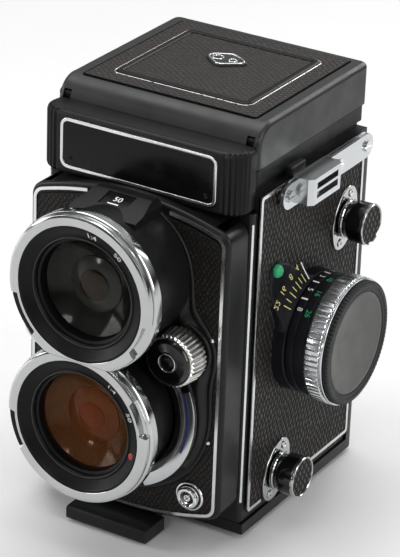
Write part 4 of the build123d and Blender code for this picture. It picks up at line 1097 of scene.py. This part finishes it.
low, high = span("nameplate")
plate = (low.x, low.z), (high.x, high.z)
prism("nameplate_black", [inset_rect(*plate, 0.0, 3.4)], front, -44.2, low.y, "nameplate",
      "camera_body", "nameplate")
prism("nameplate_border", [inset_rect(*plate, 0.5, 3.0), inset_rect(*plate, 1.6, 1.9)],
      front, -44.3, low.y - 0.25, "silver_trim", "camera_body", round_end=0.18)
for sign, where in ((-1, "left"), (1, "right")):
    lathe("nameplate_screw_" + where,
          [(-44.4, 0), (-44.4, 0.75), (-44.9, 0.75), (-45.0, 0.6), (-44.8, 0.35),
           (-44.8, 0)],
          Vector((sign * 25.6, 0, 124.4)), "y", "nameplate", "camera_body", steps=32,
          closed=False, soft=0.05)

# ---- lid inset and badge ----

LID_CELL = (2.9, 2.0)           # size of a leather cell on the lid


def lid_leather(name, margin, height, seed, replaced=None):
    """Leather on the lid, a margin inside the corners low and high."""
    leather_sheet(name, spaced(low.x + margin, high.x - margin, 0.36),
                  straight(low.y + margin), straight(high.y - margin), 0.34,
                  lambda u, v, r: Vector((u, v, height + 0.18 * r)),
                  LID_CELL, seed, "lid_leather", "hood_lid", replaced, skirt=0.5)


low, high = span("lid_covering")
lid_leather("lid_leather_inset", 0.3, high.z + 0.08, 31, "lid_covering")
# painted shadow: a near-black ring round the leather inset, standing in for the shade in the
# groove round it
prism("lid_inset_groove_shadow", [inset_rect(low, high, -0.5, 1.6, 6),
                           inset_rect(low, high, 0.5, 1.0, 6)],
      top, 146.05, 146.42, "groove_black", "hood_lid", round_end=0.05)
# painted shadow: a near-black band round the hood base, under the lid, and a second one under
# its upper tier, where the overhangs cast shade
LINE = 0.8                      # height and depth of the shadow lines
for name, inset, bottom in (("hood_seam_shadow", 0.0, 131.0), ("hood_tier_shadow", 1.0, 124.9)):
    corners = (inset - 36.86, 0.6 * inset - 34.06), (36.86 - inset, 39.06 - inset)
    prism(name, [inset_rect(*corners, 0.0, 2.5, 6), inset_rect(*corners, LINE, 2.0, 6)],
          top, bottom, bottom + LINE, "groove_black", "camera_body", round_end=0.03)

low, high = span("lid_panel")
prism("lid_panel_line", [inset_rect(low, high, 0.0, 3.4), inset_rect(low, high, 0.55, 2.9)],
      top, 146.2, 146.85, "silver_trim", "hood_lid", "lid_panel", round_end=0.15)
prism("lid_panel_lip", [inset_rect(low, high, 0.55, 2.9), inset_rect(low, high, 3.1, 0.9)],
      top, 146.2, 147.25, "lip_black", "hood_lid", round_end=0.75, arc=6)
lid_leather("lid_panel_leather", 3.25, 146.78, 37)

BADGE = Vector((-0.5, 9.5))


def badge_outline(grow):
    """A plain rounded diamond, wider than deep."""
    half_w, half_d = 8.6 + grow, 5.9 + grow
    corners = [(half_w, 0.9), (0, half_d), (-half_w, 0.9), (0, -half_d)]
    return [tuple(p) for p in softened(corners, 3.0, arc_steps=8)]


def on_badge(u, v, w):
    """Point of the badge; u and v run from its middle."""
    return top(BADGE.x + u, BADGE.y + v, w)


prism("lid_badge_base", [badge_outline(0.7)], on_badge, 146.6, 147.5, "rubber_black",
      "hood_lid", round_end=0.3)
prism("lid_badge_rim", [badge_outline(0.0), badge_outline(-0.9)], on_badge, 147.3, 147.8,
      "silver_trim", "hood_lid")
for index, (offset, radius) in enumerate(((-3.0, 2.1), (2.6, 1.6)), 1):
    lathe("lid_badge_ring_%d" % index,
          [(147.4, radius), (147.75, radius - 0.1), (147.75, radius - 0.5),
           (147.4, radius - 0.6)],
          Vector((BADGE.x + offset, BADGE.y + 0.2, 0)), "z", "silver_trim", "hood_lid",
          steps=48, soft=0.08)

# ---- small parts ----

SYNC = Vector((26.8, 0, 19))
lathe("sync_body",
      [(-48.9, 5.2), (-49.9, 5.2), (-50.2, 5.0), (-50.3, 4.7), (-50.1, 4.45), (-49.7, 4.35),
       (-49.7, 3.95), (-51.6, 3.8), (-52.1, 3.4), (-52.2, 2.9), (-51.9, 2.4), (-51.2, 2.2),
       (-50.6, 1.9), (-50.6, 1.3), (-51.6, 1.2), (-51.7, 0.95), (-51.6, 0.65), (-50.9, 0.6),
       (-50.9, 0.0), (-48.9, 0.0)],
      SYNC, "y", "polished_chrome", "front_standard", "sync_socket", "socket_steel",
      steps=96, closed=False, soft=0.1)
lathe("sync_insulator",
      [(-49.2, 4.3), (-49.95, 4.3), (-49.95, 3.95), (-49.2, 3.95)],
      SYNC, "y", "rubber_black", "front_standard", steps=96, soft=0.05)
lathe("sync_core", [(-50.2, 2.0), (-50.9, 2.0), (-50.9, 1.25), (-50.2, 1.25)],
      SYNC, "y", "rubber_black", "front_standard", steps=64, soft=0.05)

for index, (x, z) in enumerate(((33.2, 77.9), (33.2, 41.0), (-33.2, 77.9), (-33.2, 41.0)), 1):
    lathe("panel_screw_%d" % index,
          [(-49.0, 0), (-49.0, 0.75), (-50.3, 0.75), (-50.6, 0.5), (-50.65, 0)],
          Vector((x, 0, z)), "y", "silver_trim", "front_standard", steps=32, closed=False,
          soft=0.1)

# Leather on the back, inside a fine silver line.
BACK_FACE = 41.0
BACK_LOW, BACK_HIGH = (-33.6, 9.5), (33.6, 111.5)
leather_sheet("leather_back", spaced(BACK_LOW[0], BACK_HIGH[0], 0.36),
              straight(BACK_LOW[1]), straight(BACK_HIGH[1]), 0.44,
              lambda u, v, r: Vector((u, BACK_FACE - 0.06 + 0.26 * r, v)),
              SIDE_CELL, 43, "leather", "back", skirt=0.4)
prism("back_trim", [inset_rect(BACK_LOW, BACK_HIGH, -0.9, 1.4, 6),
                    inset_rect(BACK_LOW, BACK_HIGH, 0.0, 0.6, 6)],
      front, BACK_FACE - 0.3, BACK_FACE + 0.3, "silver_trim", "back", round_end=0.12)

# Catch that holds the hood down, on the neck above the strap lug.
for sign, where in ((1, "right"), (-1, "left")):
    inside, outside = sorted((sign * 35.6, sign * 39.3))
    prism("neck_catch_" + where, [round_rect((inside, -13.6), (outside, -4.6), 0.9)],
          top, 123.2, 126.6, "rubber_black", "camera_body", round_end=0.6)

# Setting window in the sloping roof of the viewing lens, with its digits and index.
ROOF_Y, ROOF_TOP = -52.0, 121.4         # where the slope of the roof begins
DIGIT_RAISE = -0.26


def on_roof(u, v, w):
    """Point at height w over the roof, which falls towards the front."""
    return Vector((u, v, ROOF_TOP - (ROOF_Y - v) * 3 / 13 + w))


prism("roof_window", [round_rect((-5.15, -59.45), (5.15, -52.55), 0.4)], on_roof, -1.6, -0.3,
      "nameplate", "front_standard", slot="satin_black", round_end=0.1)
bm = bmesh.new()
add_text(bm, "50", DIGIT_SIZE, lambda u, v: on_roof(u, -55.6 + v, DIGIT_RAISE))
bm.faces.new([bm.verts.new(on_roof(x, y, DIGIT_RAISE)) for x, y in
              ((-2.4, -58.3), (1.6, -58.3), (1.6, -57.8), (-2.4, -57.8))])
finish_piece("roof_window_digits", bm, "white_mark", "front_standard")

# Hard edges of the machined CAD parts catch the light once they are broken.
BROKEN_EDGES = {
    0.22: "strap_lug_left strap_lug_right viewing_housing back_latch hood_base",
    0.12: "crank release_collar front_trim side_trims",
}
for width, names in BROKEN_EDGES.items():
    for node_name in names.split():
        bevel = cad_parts[node_name].modifiers.new("broken_edges", "BEVEL")
        bevel.width = width * MM
        bevel.segments = 2
        bevel.limit_method = "ANGLE"
        bevel.angle_limit = math.radians(40)
        bevel.harden_normals = False

# ---- camera, floor and light ----

AIM = Vector((0, 0, 72)) * MM           # middle of the front, between the lenses
AZIMUTH = math.radians(30.3)            # to the right of straight ahead
ELEVATION = math.radians(25.33)
DISTANCE = 0.9478
ROLL = math.radians(2.22)

towards = Vector((math.sin(AZIMUTH) * math.cos(ELEVATION),
                  -math.cos(AZIMUTH) * math.cos(ELEVATION), math.sin(ELEVATION)))
level_right = Vector((math.cos(AZIMUTH), math.sin(AZIMUTH), 0))
level_up = towards.cross(level_right)
right = level_right * math.cos(ROLL) + level_up * math.sin(ROLL)
up = level_up * math.cos(ROLL) - level_right * math.sin(ROLL)

camera_data = bpy.data.cameras.new("camera")
camera_data.lens = 252.3
camera_data.sensor_width = 36.0
camera_data.sensor_fit = "HORIZONTAL"
camera_data.shift_x, camera_data.shift_y = -0.010275, -0.00445
camera_data.clip_start = 0.05
camera = new_object("camera", camera_data)
rotation = Matrix((right, up, towards)).transposed()
camera.matrix_world = Matrix.Translation(AIM + towards * DISTANCE) @ rotation.to_4x4()
bpy.context.scene.camera = camera

LIT_POINT = Vector((0, 0, 0.07))        # what every lamp points at
LAMPS = (                               # name, place, size, power
    ("top_light", (-0.15, 0.1, 1.0), (0.9, 0.8), 9.5),
    ("left_light", (-1.0, -0.5, 0.45), (0.5, 0.7), 6.5),
    ("right_light", (1.0, -0.15, 0.5), (0.35, 0.8), 5),
    ("back_light", (0.2, 1.1, 0.7), (1.0, 0.4), 6.5),
    ("front_light", (0.15, -1.1, 0.75), (0.25, 0.25), 2),
    ("catch_light", (-0.42, -0.95, 0.2), (0.06, 0.06), 0.4),
)
for name, place, size, power in LAMPS:
    data = bpy.data.lights.new(name, "AREA")
    data.shape = "RECTANGLE"
    data.size, data.size_y = size
    data.energy = power
    lamp = new_object(name, data)
    lamp.location = place
    lamp.rotation_euler = (LIT_POINT - Vector(place)).to_track_quat("-Z", "Y").to_euler()

floor_surface = Surface("pale_floor", (0.66, 0.662, 0.658), 0.55)
floor_surface.vary_colour(floor_surface.noise(9, 5), 0.985, 1.01)
floor_surface.bump(floor_surface.noise(700, 3), 0.02)
floor_mesh = bpy.data.meshes.new("floor")
floor_bm = bmesh.new()
bmesh.ops.create_grid(floor_bm, x_segments=8, y_segments=8, size=3.0)
floor_bm.to_mesh(floor_mesh)
floor_bm.free()
floor_mesh.materials.append(floor_surface.material)
floor = new_object("floor", floor_mesh)

world = bpy.data.worlds.new("studio")
world.use_nodes = True
tree = world.node_tree
direction = add_node(tree, "ShaderNodeTexCoord").outputs["Generated"]
height = add_node(tree, "ShaderNodeSeparateXYZ", links={"Vector": direction}).outputs["Z"]
# darker at the horizon
SKY = ((0.0, 0.16), (0.1, 0.3), (0.35, 0.85), (0.7, 0.95))
sky = add_ramp(tree, height, [(z, (grey, grey, grey * 1.02)) for z, grey in SKY])
# broad darker patches, as the walls of a room leave between lit panels
patches = add_node(tree, "ShaderNodeTexNoise", {"Scale": 1.7, "Detail": 1.0},
                   {"Vector": direction}).outputs["Fac"]
panels = add_ramp(tree, patches, [(0.4, (0.26, 0.255, 0.25)), (0.56, 1.0)])
background = tree.nodes["Background"]
tree.links.new(multiplied(tree, sky, panels), background.inputs["Color"])
background.inputs["Strength"].default_value = 0.6
bpy.context.scene.world = world

bpy.context.scene.view_settings.view_transform = "Standard"
